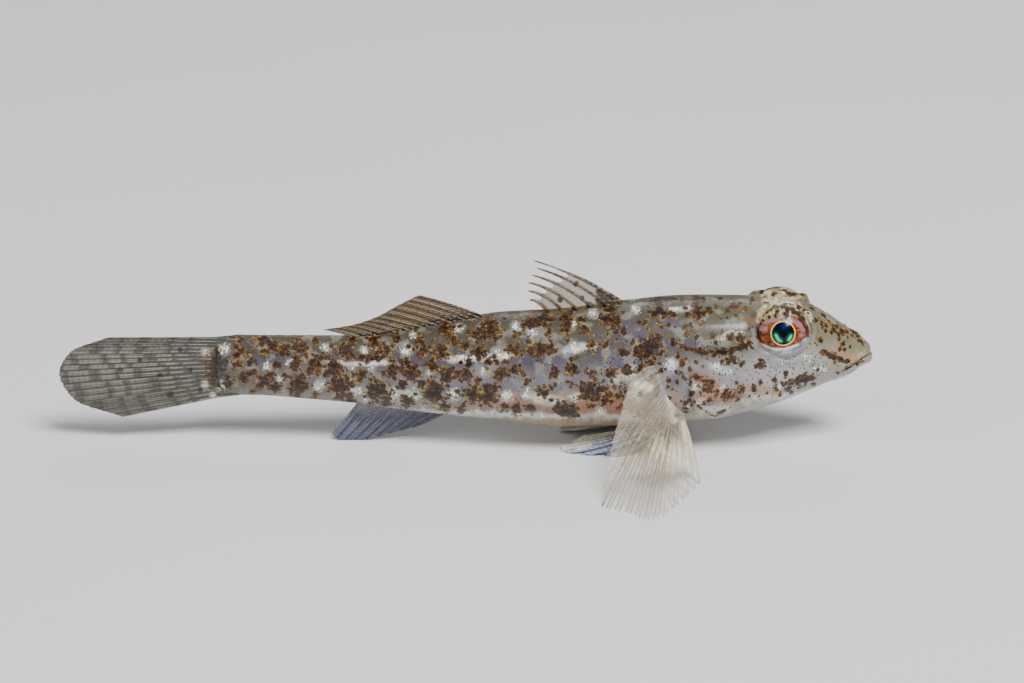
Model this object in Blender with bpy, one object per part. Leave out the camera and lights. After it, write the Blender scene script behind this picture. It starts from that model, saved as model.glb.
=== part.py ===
"""A slender sand goby at rest on the bottom, life size.

Metres. The nose points to +X, the fish's right side faces -Y, up is +Z and the floor is z = 0.
The tables are in millimetres: distances run back from the tip of the snout, and heights
are measured from the body axis, which lies AXIS_HEIGHT over the floor.
"""
import math

import bmesh
import bpy
import numpy as np

MM = 0.001
STANDARD_LENGTH = 40.0
TOTAL_LENGTH = 50.6
AXIS_HEIGHT = 5.0
GAP = 0.3
ROOT_SINK = 0.7

# Distance from the snout, top height, bottom height, half width, fullness of the section
BODY = [
    (0.0, 0.66, 0.66, 0.0, 2.0),
    (0.15, 1.20, 0.30, 0.42, 2.0),
    (0.62, 1.86, 0.15, 0.84, 2.0),
    (0.95, 2.20, -0.10, 1.04, 2.05),
    (1.55, 2.50, -0.58, 1.32, 2.1),
    (2.67, 3.28, -0.89, 1.80, 2.15),
    (4.03, 4.00, -1.46, 2.28, 2.2),
    (5.52, 4.35, -2.03, 2.70, 2.25),
    (8.25, 4.46, -2.87, 3.12, 2.3),
    (11.7, 4.49, -3.43, 3.38, 2.2),
    (14.6, 4.25, -3.65, 3.33, 2.15),
    (19.6, 3.61, -3.81, 3.05, 2.1),
    (23.1, 3.44, -3.44, 2.72, 2.1),
    (26.3, 2.86, -3.12, 2.30, 2.05),
    (29.5, 2.29, -2.76, 1.82, 2.0),
    (31.8, 1.96, -2.44, 1.48, 2.0),
    (35.1, 2.00, -2.14, 1.18, 2.0),
    (38.6, 2.04, -1.89, 0.95, 2.0),
    (41.0, 2.14, -1.92, 0.78, 2.0),
]
# The rounded end of the tail, where the caudal fin grows
TAIL_ROUND_START = STANDARD_LENGTH - 0.8
TAIL_ROUND_END = STANDARD_LENGTH + 0.9
TAIL_END_MARGIN = 0.02

# Rear edge of the gill cover: angle round the body from the top, distance from the snout
GILL_EDGE = [(0, 12.1), (45, 11.8), (80, 11.35), (105, 11.45), (125, 10.9), (148, 9.9), (180, 9.3)]
GILL_CAP_MIDDLE = 11.0
GILL_RAISE = 0.17
GILL_RAISE_WIDTH = 0.9
GILL_STEP = 0.10
GILL_STEP_WIDTH = 0.6
CHEEK_EDGE = [(-2.8, 8.2), (-1.0, 8.6), (0.6, 8.75), (1.4, 8.3)]
CHEEK_STEP = 0.14
CHEEK_STEP_WIDTH = 0.3
TRUNK_END = 25.0

# Soft swellings of both sides: distance, height, spread along, spread up, amount
SWELLINGS = [
    (7.0, -0.9, 1.3, 1.0, 0.16),
    (10.1, -0.6, 0.9, 1.2, 0.12),
    (3.2, 1.6, 0.7, 0.5, -0.10),
    (12.9, -1.1, 0.7, 1.25, 0.38),
]

# Mouth: distance, height of the cleft
MOUTH = [(0.0, 1.0), (0.2, 0.98), (0.63, 0.86), (1.7, 0.27), (2.3, 0.02), (3.85, -0.36)]
MOUTH_BACK = 2.1
MOUTH_FADE = 0.9
MOUTH_SLOT = 0.2
MOUTH_DEPTH = 0.5
UPPER_LIP_RISE = 0.15
LOWER_LIP_RISE = 0.12
LIP_OFFSET = 0.33
LIP_SPREAD = 0.2
LIP_START = 0.5

EYE_DISTANCE = 5.78
EYE_HEIGHT = 3.03
EYE_SIDE = 2.05
EYE_RADIUS = 1.65
EYE_DEPTH = 0.98
EYE_TILT = math.radians(21.0)
CORNEA_RISE = 0.10
CORNEA_SPREAD = math.radians(32.0)

# Nostrils: distance, angle from the top
NOSTRILS = [(1.75, 42.0), (3.05, 36.0)]
NOSTRIL_RADIUS = 0.17
NOSTRIL_DEPTH = 0.3

# Fin tables: share across the fin, distance from the snout, height over the axis
FIRST_DORSAL_BASE = [(0.0, 14.9, 3.6), (1.0, 19.8, 3.0)]
FIRST_DORSAL_TIPS = [(0.0, 21.1, 6.95), (0.2, 20.9, 6.45), (0.4, 21.2, 6.0), (0.6, 21.4, 5.5),
                     (0.8, 21.4, 4.95), (1.0, 21.3, 4.35)]
SECOND_DORSAL_BASE = [(0.0, 23.3, 2.8), (0.5, 27.3, 2.1), (1.0, 31.0, 1.4)]
SECOND_DORSAL_TIPS = [(0.0, 28.3, 4.62), (0.2, 29.3, 4.1), (0.5, 30.8, 3.25), (0.8, 32.4, 2.7),
                      (1.0, 33.9, 2.45)]
ANAL_BASE = [(0.0, 25.9, -2.6), (0.5, 28.6, -2.2), (1.0, 31.4, -1.8)]
ANAL_TIPS = [(0.0, 28.4, -4.0), (0.3, 30.2, -4.5), (0.6, 31.9, -4.98), (0.85, 33.2, -5.07), (1.0, 33.6, -4.6)]
CAUDAL_BASE = [(0.0, 39.2, 1.88), (0.5, 39.6, 0.1), (1.0, 39.2, -1.72)]
CAUDAL_TIPS = [(0.0, 47.6, 1.85), (0.25, 49.8, 0.95), (0.5, TOTAL_LENGTH, -0.55), (0.75, 49.7, -2.3),
               (1.0, 47.0, -3.35)]

# Pectoral fin: share, distance, side, height of each ray's tip; then the root on the skin
PECTORAL_TIPS = [(0.0, 15.4, 5.0, 0.5), (0.12, 16.1, 6.8, -1.1), (0.25, 16.8, 8.9, -3.2),
                 (0.37, 17.05, 10.3, -4.85), (0.46, 16.5, 10.8, -4.85), (0.57, 15.4, 11.3, -4.85),
                 (0.68, 14.5, 12.3, -4.85), (0.78, 13.6, 12.0, -4.85), (0.87, 12.7, 10.4, -4.85),
                 (0.94, 11.9, 8.9, -4.85), (1.0, 11.15, 7.3, -4.85)]
PECTORAL_ROOT_DISTANCE = [(0.0, 13.3), (1.0, 12.0)]
PECTORAL_ROOT_ANGLE = [(0.0, 82.0), (1.0, 136.0)]
PECTORAL_RAYS = 17
PECTORAL_BEND = 1.0

# Pelvic fin: share from the inner ray out, distance, side, height of each ray's tip
PELVIC_TIPS = [(0.0, 18.3, 0.75, -4.5), (0.2, 19.4, 1.4, -4.86), (0.5, 19.2, 2.0, -4.86),
               (0.8, 17.8, 2.5, -4.86), (1.0, 16.2, 2.7, -4.86)]
PELVIC_ROOTS = [(0.0, 13.2, 0.65, -3.3), (1.0, 12.3, 1.5, -3.1)]
PELVIC_RAYS = 6
PELVIC_DROP = 0.85

# Rings along and points round each solid
HEAD_RINGS = 38
HEAD_SIDES = 48
HEAD_CROWDING = 1.35
TRUNK_CROWDING = 1.35
TAIL_CROWDING = 1.15
TRUNK_RINGS = 17
TRUNK_SIDES = 44
TAIL_RINGS = 15
TAIL_SIDES = 36
CAP_RINGS = 3
CAP_LAST_RING = 0.6
COVER_RINGS = 60
COVER_SIDES = 40
EYE_RINGS = 12
EYE_SIDES = 22
SOCKET_RINGS = 16
SOCKET_SIDES = 28

# Thickness of a fin between its rays and at a ray, and how it thins to the edge
MEMBRANE = 0.5
RIDGE = 0.74
TIP_SHARE = 0.5
SHOULDER = 0.26
FLAT_TOP = 0.34
SHARP_ANGLE = math.radians(38.0)
MERGE_DISTANCES = (1e-6, 2e-6, 7e-7, 5e-7, 3e-7, 1e-7)


def curve_through(points, at):
    """Height of a smooth curve through the points, without overshoot, at one place or many."""
    xs = np.array([p[0] for p in points], float)
    ys = np.array([p[1] for p in points], float)
    at = np.clip(np.asarray(at, float), xs[0], xs[-1])
    steps = np.diff(xs)
    rises = np.diff(ys) / steps
    slopes = np.zeros(len(xs))
    slopes[0] = rises[0]
    slopes[-1] = rises[-1]
    for i in range(1, len(xs) - 1):
        if rises[i - 1] * rises[i] > 0:
            left = 2 * steps[i] + steps[i - 1]
            right = steps[i] + 2 * steps[i - 1]
            slopes[i] = (left + right) / (left / rises[i - 1] + right / rises[i])
    k = np.clip(np.searchsorted(xs, at, side="right") - 1, 0, len(xs) - 2)
    t = (at - xs[k]) / steps[k]
    start = (2 * t**3 - 3 * t**2 + 1) * ys[k] + (t**3 - 2 * t**2 + t) * steps[k] * slopes[k]
    end = (3 * t**2 - 2 * t**3) * ys[k + 1] + (t**3 - t**2) * steps[k] * slopes[k + 1]
    return start + end


def smooth_step(low, high, value):
    t = np.clip((value - low) / (high - low), 0.0, 1.0)
    return t * t * (3 - 2 * t)


def body_column(index):
    """One column of the body table against the root of the distance, so the snout is round."""
    return [(math.sqrt(row[0]), row[index]) for row in BODY]


TOP = body_column(1)
BOTTOM = body_column(2)
HALF_WIDTH = body_column(3)
FULLNESS = body_column(4)


def section(distance):
    """Top, bottom, half width and fullness of the body at a distance from the snout."""
    place = np.sqrt(np.clip(distance, 0.0, None))
    top = curve_through(TOP, place)
    bottom = curve_through(BOTTOM, place)
    width = curve_through(HALF_WIDTH, place)
    past = np.clip((distance - TAIL_ROUND_START) / (TAIL_ROUND_END - TAIL_ROUND_START), 0.0, 1.0)
    shrink = np.sqrt(1.0 - past**2)
    middle = (top + bottom) / 2
    half = (top - bottom) / 2 * shrink**0.6
    return middle, half, width * shrink, curve_through(FULLNESS, place)


def plain_point(distance, angle):
    """Point of the body without its relief, in millimetres from the snout tip and the axis."""
    middle, half, width, fullness = section(distance)
    up = np.cos(angle)
    side = np.sin(angle)
    power = 2.0 / fullness
    y = -width * np.sign(side) * np.abs(side) ** power
    z = middle + half * np.sign(up) * np.abs(up) ** power
    return np.stack([-np.asarray(distance) + 0.0 * y, y, z], axis=-1)


def gill_edge(angle):
    turn = np.degrees(np.abs(np.arctan2(np.sin(angle), np.cos(angle))))
    return curve_through(GILL_EDGE, turn)


def relief(distance, angle, height):
    """How far the skin stands out from the plain body: lips, cheek, gill cover, fin pad."""
    flank = smooth_step(0.25, 0.65, np.abs(np.sin(angle)))
    rise = np.zeros(np.shape(height))
    for along, up, spread_along, spread_up, amount in SWELLINGS:
        far = ((distance - along) / spread_along) ** 2 + ((height - up) / spread_up) ** 2
        rise = rise + amount * flank * np.exp(-far)
    behind = distance - gill_edge(angle)
    cover = GILL_RAISE * np.exp(-((behind / GILL_RAISE_WIDTH) ** 2))
    below = -GILL_STEP * np.exp(-((behind / GILL_STEP_WIDTH) ** 2))
    rise = rise + flank * np.where(behind < 0, cover, below)
    from_cheek = distance - curve_through(CHEEK_EDGE, height)
    on_cheek = flank * smooth_step(-3.4, -2.6, height) * (1 - smooth_step(1.2, 2.0, height))
    fold = np.exp(-((from_cheek / CHEEK_STEP_WIDTH) ** 2))
    rise = rise - CHEEK_STEP * on_cheek * fold
    over_mouth = height - curve_through(MOUTH, distance)
    lips = smooth_step(0.0, LIP_START, distance)
    lips = lips * (1 - smooth_step(MOUTH_BACK - MOUTH_FADE, MOUTH_BACK + 0.2, distance))
    upper = UPPER_LIP_RISE * np.exp(-(((over_mouth - LIP_OFFSET) / LIP_SPREAD) ** 2))
    lower = LOWER_LIP_RISE * np.exp(-(((over_mouth + LIP_OFFSET) / LIP_SPREAD) ** 2))
    return rise + lips * (upper + lower)


def body_point(distance, angle, raise_by=0.0):
    """Skin point at a distance and an angle from the top, or one raised off it."""
    distance = np.asarray(distance, float)
    angle = np.asarray(angle, float)
    small = 0.01
    ahead = np.clip(distance - small, 0.002, None)
    here = plain_point(distance, angle)
    along = plain_point(ahead + 2 * small, angle) - plain_point(ahead, angle)
    round_it = plain_point(np.clip(distance, 0.002, None), angle + small)
    round_it = round_it - plain_point(np.clip(distance, 0.002, None), angle - small)
    normal = np.cross(along, round_it)
    size = np.sqrt((normal**2).sum(axis=-1, keepdims=True))
    normal = normal / np.maximum(size, 1e-12)
    tip = np.broadcast_to((np.asarray(distance) < 1e-6)[..., None], normal.shape)
    normal = np.where(tip, np.array([1.0, 0.0, 0.0]), normal)
    rise = relief(distance, angle, here[..., 2])
    rise = np.where(np.asarray(distance) < 1e-6, 0.0, rise) + raise_by
    return here + normal * rise[..., None]


def world(points):
    """From millimetres about the snout tip and the axis to metres in the part's frame."""
    moved = np.asarray(points, float) + np.array([TOTAL_LENGTH / 2, 0.0, AXIS_HEIGHT])
    return moved * MM


def new_object(name, verts, faces):
    mesh = bpy.data.meshes.new(name)
    mesh.from_pydata([tuple(v) for v in verts], [], faces)
    mesh.update()
    work = bmesh.new()
    work.from_mesh(mesh)
    bmesh.ops.remove_doubles(work, verts=work.verts, dist=1e-7)
    bmesh.ops.recalc_face_normals(work, faces=work.faces)
    work.to_mesh(mesh)
    work.free()
    obj = bpy.data.objects.new(name, mesh)
    bpy.context.scene.collection.objects.link(obj)
    return obj


def ring_faces(rings, sides):
    """Quads between rings of points laid one after another."""
    faces = []
    for r in range(rings - 1):
        for k in range(sides):
            n = (k + 1) % sides
            faces.append((r * sides + k, r * sides + n, (r + 1) * sides + n, (r + 1) * sides + k))
    return faces


def closed_tube(name, rings):
    """Closed solid through rings of points, each end drawn together to its middle."""
    sides = len(rings[0])
    verts = [tuple(p) for ring in rings for p in ring]
    faces = ring_faces(len(rings), sides)
    for first, ring in ((0, rings[0]), ((len(rings) - 1) * sides, rings[-1])):
        middle = len(verts)
        verts.append(tuple(np.mean(np.asarray(ring), axis=0)))
        for k in range(sides):
            faces.append((first + k, first + (k + 1) % sides, middle))
    return new_object(name, verts, faces)


def angles(sides):
    return np.arange(sides) * 2 * math.pi / sides


def gill_cap(turn, back):
    """Rings of the wall between head and trunk, from the skin in to the middle."""
    edge = gill_edge(turn)
    rings = []
    for k in range(1, CAP_RINGS + 1):
        share = 1 - k / (CAP_RINGS + CAP_LAST_RING)
        skin = body_point(edge + back, turn)
        centre = skin.mean(axis=0)
        ring = centre + (skin - centre) * share
        place = GILL_CAP_MIDDLE + (edge - GILL_CAP_MIDDLE) * share**2 + back
        ring[:, 0] = -place
        rings.append(ring)
    return rings


def flat_cap(place, turn):
    """Rings of a flat wall across the body."""
    skin = body_point(np.full(len(turn), place), turn)
    centre = skin.mean(axis=0)
    shares = [1 - k / (CAP_RINGS + CAP_LAST_RING) for k in range(1, CAP_RINGS + 1)]
    return [centre + (skin - centre) * share for share in shares]


def head_rings():
    turn = angles(HEAD_SIDES)
    edge = gill_edge(turn)
    rings = []
    for k in range(1, HEAD_RINGS + 1):
        share = (k / HEAD_RINGS) ** HEAD_CROWDING
        rings.append(body_point(edge * share, turn))
    return [world(r) for r in rings + gill_cap(turn, 0.0)]


def snout_solid():
    rings = head_rings()
    tip = np.repeat(world(body_point(np.zeros(1), np.zeros(1))), HEAD_SIDES, axis=0)
    return closed_tube("head", [tip] + rings)


def make_trunk():
    turn = angles(TRUNK_SIDES)
    start = gill_edge(turn) + GAP
    rings = list(reversed(gill_cap(turn, GAP)))
    for k in range(TRUNK_RINGS + 1):
        share = (k / TRUNK_RINGS) ** TRUNK_CROWDING
        rings.append(body_point(start + (TRUNK_END - start) * share, turn))
    rings = rings + flat_cap(TRUNK_END, turn)
    return closed_tube("trunk", [world(r) for r in rings])


def make_tail():
    turn = angles(TAIL_SIDES)
    start = TRUNK_END + GAP
    rings = list(reversed(flat_cap(start, turn)))
    for k in range(TAIL_RINGS + 1):
        share = math.sin(k / TAIL_RINGS * math.pi / 2) ** TAIL_CROWDING
        place = start + (TAIL_ROUND_END - TAIL_END_MARGIN - start) * share
        rings.append(body_point(np.full(TAIL_SIDES, place), turn))
    return closed_tube("tail", [world(r) for r in rings])


def body_cover():
    """The whole body grown by the gap: it cuts the root of every fin."""
    turn = angles(COVER_SIDES)
    tip = body_point(np.zeros(COVER_SIDES), turn, GAP)
    rings = [tip]
    for k in range(1, COVER_RINGS + 1):
        share = k / COVER_RINGS
        place = (TAIL_ROUND_END - TAIL_END_MARGIN) * (1 - math.cos(share * math.pi)) / 2
        rings.append(body_point(np.full(COVER_SIDES, place), turn, GAP))
    end = rings[-1].copy()
    end[:, 0] = -(TAIL_ROUND_END + GAP)
    return closed_tube("cover", [world(r) for r in rings + [end]])


def ball(name, side, grown, rings, sides):
    """Eye or socket: a ball flattened along its axis, looking out and a little up."""
    centre = np.array([-EYE_DISTANCE, side * EYE_SIDE, EYE_HEIGHT])
    axis = np.array([0.0, side * math.cos(EYE_TILT), math.sin(EYE_TILT)])
    across = np.array([1.0, 0.0, 0.0])
    upward = np.cross(axis, across)
    turn = angles(sides)
    loops = []
    for k in range(rings + 1):
        polar = math.pi * k / rings
        cornea = CORNEA_RISE * math.exp(-((polar / CORNEA_SPREAD) ** 2))
        spread = math.sin(polar) * (EYE_RADIUS + grown)
        loop = centre + axis * math.cos(polar) * (EYE_DEPTH + grown + cornea)
        loop = loop + np.outer(np.cos(turn), across) * spread + np.outer(np.sin(turn), upward) * spread
        loops.append(loop)
    return closed_tube(name, [world(r) for r in loops])


def mouth_cutter():
    """Thin curved wedge that cuts the line of the mouth round the snout."""
    places = MOUTH_BACK * (np.linspace(1.0, 0.0, 12) ** 2)
    right = []
    for place in places:
        height = float(curve_through(MOUTH, place))
        middle, half, width, fullness = [float(v) for v in section(max(place, 0.002))]
        level = min(abs(height - middle) / max(half, 1e-6), 1.0)
        y = -width * (1 - level**fullness) ** (1 / fullness)
        right.append((-place, y, height))
    inside = [p for p in right if abs(p[1]) > 1e-3]
    front = (0.0, 0.0, float(curve_through(MOUTH, 0.0)))
    line = inside + [front] + [(x, -y, z) for x, y, z in reversed(inside)]
    rings = []
    for k, point in enumerate(line):
        before = line[max(k - 1, 0)]
        after = line[min(k + 1, len(line) - 1)]
        dx, dy = after[0] - before[0], after[1] - before[1]
        size = math.hypot(dx, dy)
        out = np.array([dy / size, -dx / size, 0.0])
        fade = float(smooth_step(MOUTH_BACK + 0.1, MOUTH_BACK - MOUTH_FADE, -point[0]))
        centre = np.array(point)
        outer = centre + out * 0.6
        depth = 0.12 + (MOUTH_DEPTH - 0.12) * fade
        inner = centre - np.array([depth * fade, np.sign(centre[1]) * min(abs(centre[1]) * 0.6, depth), 0.0])
        wide = np.array([0.0, 0.0, MOUTH_SLOT * (0.35 + 0.15 * fade)])
        narrow = wide * 0.6
        rings.append(np.array([outer + wide, outer - wide, inner - narrow, inner + narrow]))
    return closed_tube("mouth cutter", [world(r) for r in rings])


def nostril_cutter(name, distance, angle):
    """Short peg along the skin's normal."""
    skin = body_point(np.array([distance]), np.array([angle]))[0]
    out = body_point(np.array([distance]), np.array([angle]), 1.0)[0] - skin
    across = np.cross(out, np.array([0.0, 0.0, 1.0]))
    across = across / np.sqrt((across**2).sum())
    upward = np.cross(out, across)
    turn = angles(10)
    circle = np.outer(np.cos(turn), across) + np.outer(np.sin(turn), upward)
    rings = []
    for lift, share in ((0.3, 1.15), (0.0, 1.0), (-NOSTRIL_DEPTH, 0.7)):
        rings.append(skin + out * lift + circle * NOSTRIL_RADIUS * share)
    return closed_tube(name, [world(r) for r in rings])


def island_of(seed, left):
    """Faces joined to one face by edges, taken out of the ones left."""
    island = [seed]
    stack = [seed]
    while stack:
        for edge in stack.pop().edges:
            for other in edge.link_faces:
                if other in left:
                    left.remove(other)
                    island.append(other)
                    stack.append(other)
    return island


def merged(mesh, distance):
    """Mesh with only its largest closed surface and its tiny edges merged."""
    work = bmesh.new()
    work.from_mesh(mesh)
    left = set(work.faces)
    islands = []
    while left:
        islands.append(island_of(left.pop(), left))
    islands.sort(key=lambda faces: sum(f.calc_area() for f in faces), reverse=True)
    spare = [f for island in islands[1:] for f in island]
    bmesh.ops.delete(work, geom=spare, context="FACES")
    bmesh.ops.remove_doubles(work, verts=work.verts, dist=distance)
    bmesh.ops.dissolve_degenerate(work, edges=work.edges, dist=distance)
    bmesh.ops.triangulate(work, faces=[f for f in work.faces if len(f.verts) > 4])
    bmesh.ops.recalc_face_normals(work, faces=work.faces)
    return work


def keep_largest(obj):
    """Leave only the largest closed surface, merging as much as keeps it closed."""
    for distance in MERGE_DISTANCES:
        work = merged(obj.data, distance)
        closed = all(edge.is_manifold for edge in work.edges)
        if closed:
            work.to_mesh(obj.data)
        work.free()
        if closed:
            return


def cut(obj, cutters):
    """Take the cutters out of a solid, apply it and remove them."""
    group = bpy.data.collections.new(obj.name + " cutters")
    bpy.context.scene.collection.children.link(group)
    for cutter in cutters:
        cutter.hide_render = True
        cutter.display_type = "WIRE"
        group.objects.link(cutter)
        bpy.context.scene.collection.objects.unlink(cutter)
    step = obj.modifiers.new("cut", "BOOLEAN")
    step.operation = "DIFFERENCE"
    step.solver = "EXACT"
    step.operand_type = "COLLECTION"
    step.collection = group
    graph = bpy.context.evaluated_depsgraph_get()
    result = bpy.data.meshes.new_from_object(obj.evaluated_get(graph))
    obj.modifiers.clear()
    obj.data = result
    result.name = obj.name
    for cutter in cutters:
        bpy.data.objects.remove(cutter)
    bpy.data.collections.remove(group)
    keep_largest(obj)


def make_head():
    head = snout_solid()
    cutters = [mouth_cutter()]
    for side in (-1, 1):
        cutters.append(ball("socket", side, GAP, SOCKET_RINGS, SOCKET_SIDES))
        for distance, angle in NOSTRILS:
            cutters.append(nostril_cutter("nostril", distance, -side * math.radians(angle)))
    cut(head, cutters)
    return head


def bezier(start, bend, end, steps):
    """Points of a curve that leaves the start toward the bend and arrives at the end."""
    t = np.linspace(0.0, 1.0, steps)[:, None]
    return (1 - t) ** 2 * start + 2 * t * (1 - t) * bend + t**2 * end


def fin_columns(rays):
    """Columns of points across a fin, three to a ray, each with its share of ridge."""
    count = len(rays)
    columns = []
    for k, ray in enumerate(rays):
        before = rays[k - 1] if k > 0 else ray - (rays[1] - ray)
        after = rays[k + 1] if k < count - 1 else ray + (ray - rays[k - 1])
        columns.append((ray + (before - ray) * SHOULDER, 0.0))
        columns.append((ray, 1.0))
        columns.append((ray + (after - ray) * SHOULDER, 0.0))
    return columns


def fin_sheet(name, rays, free_tip, flat=None):
    """Closed fin through its rays: a membrane with the rays raised on both faces."""
    columns = fin_columns(rays)
    rows = len(rays[0])
    count = len(columns)
    middle = np.zeros((count, rows, 3))
    for c, (line, ridge) in enumerate(columns):
        share = np.linspace(0.0, 1.0, rows)
        reach = share if ridge > 0.5 else share * (1 - free_tip)
        for axis in range(3):
            middle[c, :, axis] = np.interp(reach, share, line[:, axis])
    across = np.gradient(middle, axis=0)
    along = np.gradient(middle, axis=1)
    normal = np.cross(across, along)
    normal = normal / np.sqrt((normal**2).sum(axis=-1, keepdims=True))
    taper = 1 - (1 - TIP_SHARE) * smooth_step(0.72, 1.0, np.linspace(0, 1, rows))
    half = np.zeros((count, rows))
    for c, (line, ridge) in enumerate(columns):
        half[c] = (MEMBRANE + (RIDGE - MEMBRANE) * ridge) / 2 * taper
    front = middle + normal * half[..., None]
    back = middle - normal * half[..., None]
    if flat is not None:
        level = flat - AXIS_HEIGHT
        upper = front[..., 2].sum() > back[..., 2].sum()
        low, high = (back, front) if upper else (front, back)
        low[..., 2] = np.maximum(low[..., 2], level)
        high[..., 2] = np.maximum(high[..., 2], level + FLAT_TOP)
    verts = np.concatenate([front.reshape(-1, 3), back.reshape(-1, 3)])
    shift = count * rows
    faces = []
    for c in range(count - 1):
        for r in range(rows - 1):
            a = c * rows + r
            b = a + rows
            for tri in ((a, b, b + 1), (a, b + 1, a + 1)):
                faces.append(tri)
                faces.append(tuple(v + shift for v in reversed(tri)))
    border = [c * rows for c in range(count)]
    border += [(count - 1) * rows + r for r in range(1, rows)]
    border += [c * rows + rows - 1 for c in range(count - 2, -1, -1)]
    border += [r for r in range(rows - 2, 0, -1)]
    for k, a in enumerate(border):
        b = border[(k + 1) % len(border)]
        faces.append((a, b, b + shift))
        faces.append((a, b + shift, a + shift))
    return new_object(name, world(verts), faces)


def middle_fin(name, bases, tips, count, rows, bulge, free_tip, flat=None):
    """Fin on the mid line from tables of base and tip points (distance, height)."""
    rays = []
    for k in range(count):
        q = k / (count - 1)
        base = [float(curve_through([(p[0], p[i]) for p in bases], q)) for i in (1, 2)]
        tip = [float(curve_through([(p[0], p[i]) for p in tips], q)) for i in (1, 2)]
        start = np.array([-base[0], 0.0, base[1]])
        end = np.array([-tip[0], 0.0, tip[1]])
        bend = (start + end) / 2 + np.array([0.0, 0.0, bulge])
        rays.append(bezier(start, bend, end, rows))
    return fin_sheet(name, rays, free_tip, flat)


def paired_fin(name, side, count, rows, tips, roots, bends, free_tip):
    """Fin of one side from its tip, root and bend points, mirrored for the left side."""
    rays = []
    order = range(count) if side < 0 else range(count - 1, -1, -1)
    for k in order:
        q = k / (count - 1)
        flip = np.array([1.0, side, 1.0])
        tip = np.array([float(curve_through([(p[0], p[i]) for p in tips], q)) for i in (1, 2, 3)])
        tip = np.array([-tip[0], tip[1], tip[2]])
        start = roots(q)
        rays.append(bezier(start, bends(q, start, tip), tip, rows) * flip)
    return fin_sheet(name, rays, free_tip, 0.0)


def pectoral_root(q):
    distance = curve_through(PECTORAL_ROOT_DISTANCE, q)
    angle = np.radians(curve_through(PECTORAL_ROOT_ANGLE, q))
    point = body_point(np.array([distance]), np.array([angle]), -ROOT_SINK)[0]
    return point * np.array([1.0, -1.0, 1.0])


def pectoral_bend(q, start, tip):
    return start + (tip - start) * 0.5 + np.array([0.0, 0.3, PECTORAL_BEND])


def pelvic_root(q):
    place = [float(curve_through([(p[0], p[i]) for p in PELVIC_ROOTS], q)) for i in (1, 2, 3)]
    return np.array([-place[0], place[1], place[2]])


def pelvic_bend(q, start, tip):
    bend = (start + tip) / 2
    bend[2] = start[2] + (tip[2] - start[2]) * PELVIC_DROP
    return bend


COLOURS = {
    "head": ((0.33, 0.30, 0.26), 0.38),
    "trunk": ((0.24, 0.20, 0.17), 0.40),
    "tail": ((0.17, 0.14, 0.11), 0.42),
    "eye_right": ((0.03, 0.05, 0.05), 0.08),
    "eye_left": ((0.03, 0.05, 0.05), 0.08),
    "first_dorsal_fin": ((0.22, 0.15, 0.10), 0.45),
    "second_dorsal_fin": ((0.18, 0.12, 0.07), 0.45),
    "anal_fin": ((0.16, 0.18, 0.24), 0.45),
    "caudal_fin": ((0.15, 0.14, 0.12), 0.45),
    "pectoral_fin_right": ((0.62, 0.55, 0.42), 0.45),
    "pectoral_fin_left": ((0.62, 0.55, 0.42), 0.45),
    "pelvic_fin_right": ((0.42, 0.46, 0.50), 0.45),
    "pelvic_fin_left": ((0.42, 0.46, 0.50), 0.45),
}


def finish(obj):
    """Give a node its own material and smooth shading."""
    colour, roughness = COLOURS[obj.name]
    material = bpy.data.materials.new(obj.name)
    material.use_nodes = True
    shader = material.node_tree.nodes["Principled BSDF"]
    shader.inputs["Base Color"].default_value = (*colour, 1.0)
    shader.inputs["Roughness"].default_value = roughness
    shader.inputs["Metallic"].default_value = 0.0
    obj.data.materials.clear()
    obj.data.materials.append(material)
    obj.data.shade_smooth()
    obj.data.set_sharp_from_angle(angle=SHARP_ANGLE)


def build():
    for old in list(bpy.data.objects):
        bpy.data.objects.remove(old)
    nodes = [make_head(), make_trunk(), make_tail()]
    for side, word in ((-1, "right"), (1, "left")):
        nodes.append(ball("eye_" + word, side, 0.0, EYE_RINGS, EYE_SIDES))
    fins = [
        middle_fin("first_dorsal_fin", FIRST_DORSAL_BASE, FIRST_DORSAL_TIPS, 6, 8, 0.25, 0.2),
        middle_fin("second_dorsal_fin", SECOND_DORSAL_BASE, SECOND_DORSAL_TIPS, 10, 7, 0.3, 0.05),
        middle_fin("anal_fin", ANAL_BASE, ANAL_TIPS, 10, 7, -0.2, 0.05, 0.0),
        middle_fin("caudal_fin", CAUDAL_BASE, CAUDAL_TIPS, 17, 7, 0.0, 0.05),
    ]
    for side, word in ((-1, "right"), (1, "left")):
        fins.append(paired_fin("pectoral_fin_" + word, side, PECTORAL_RAYS, 7, PECTORAL_TIPS,
                               pectoral_root, pectoral_bend, 0.1))
        fins.append(paired_fin("pelvic_fin_" + word, side, PELVIC_RAYS, 8, PELVIC_TIPS,
                               pelvic_root, pelvic_bend, 0.06))
    for fin in fins:
        cut(fin, [body_cover()])
    for node in nodes + fins:
        finish(node)


build()
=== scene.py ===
"""Looks of a slender sand goby at rest on the bottom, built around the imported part.

The part's frame is used: metres, the nose to +X, the right side to -Y and the floor at z = 0.
The tables are in millimetres: distances run back from the tip of the snout, and heights
are measured from the body axis, which lies AXIS_HEIGHT over the floor.
"""

import math

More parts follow.
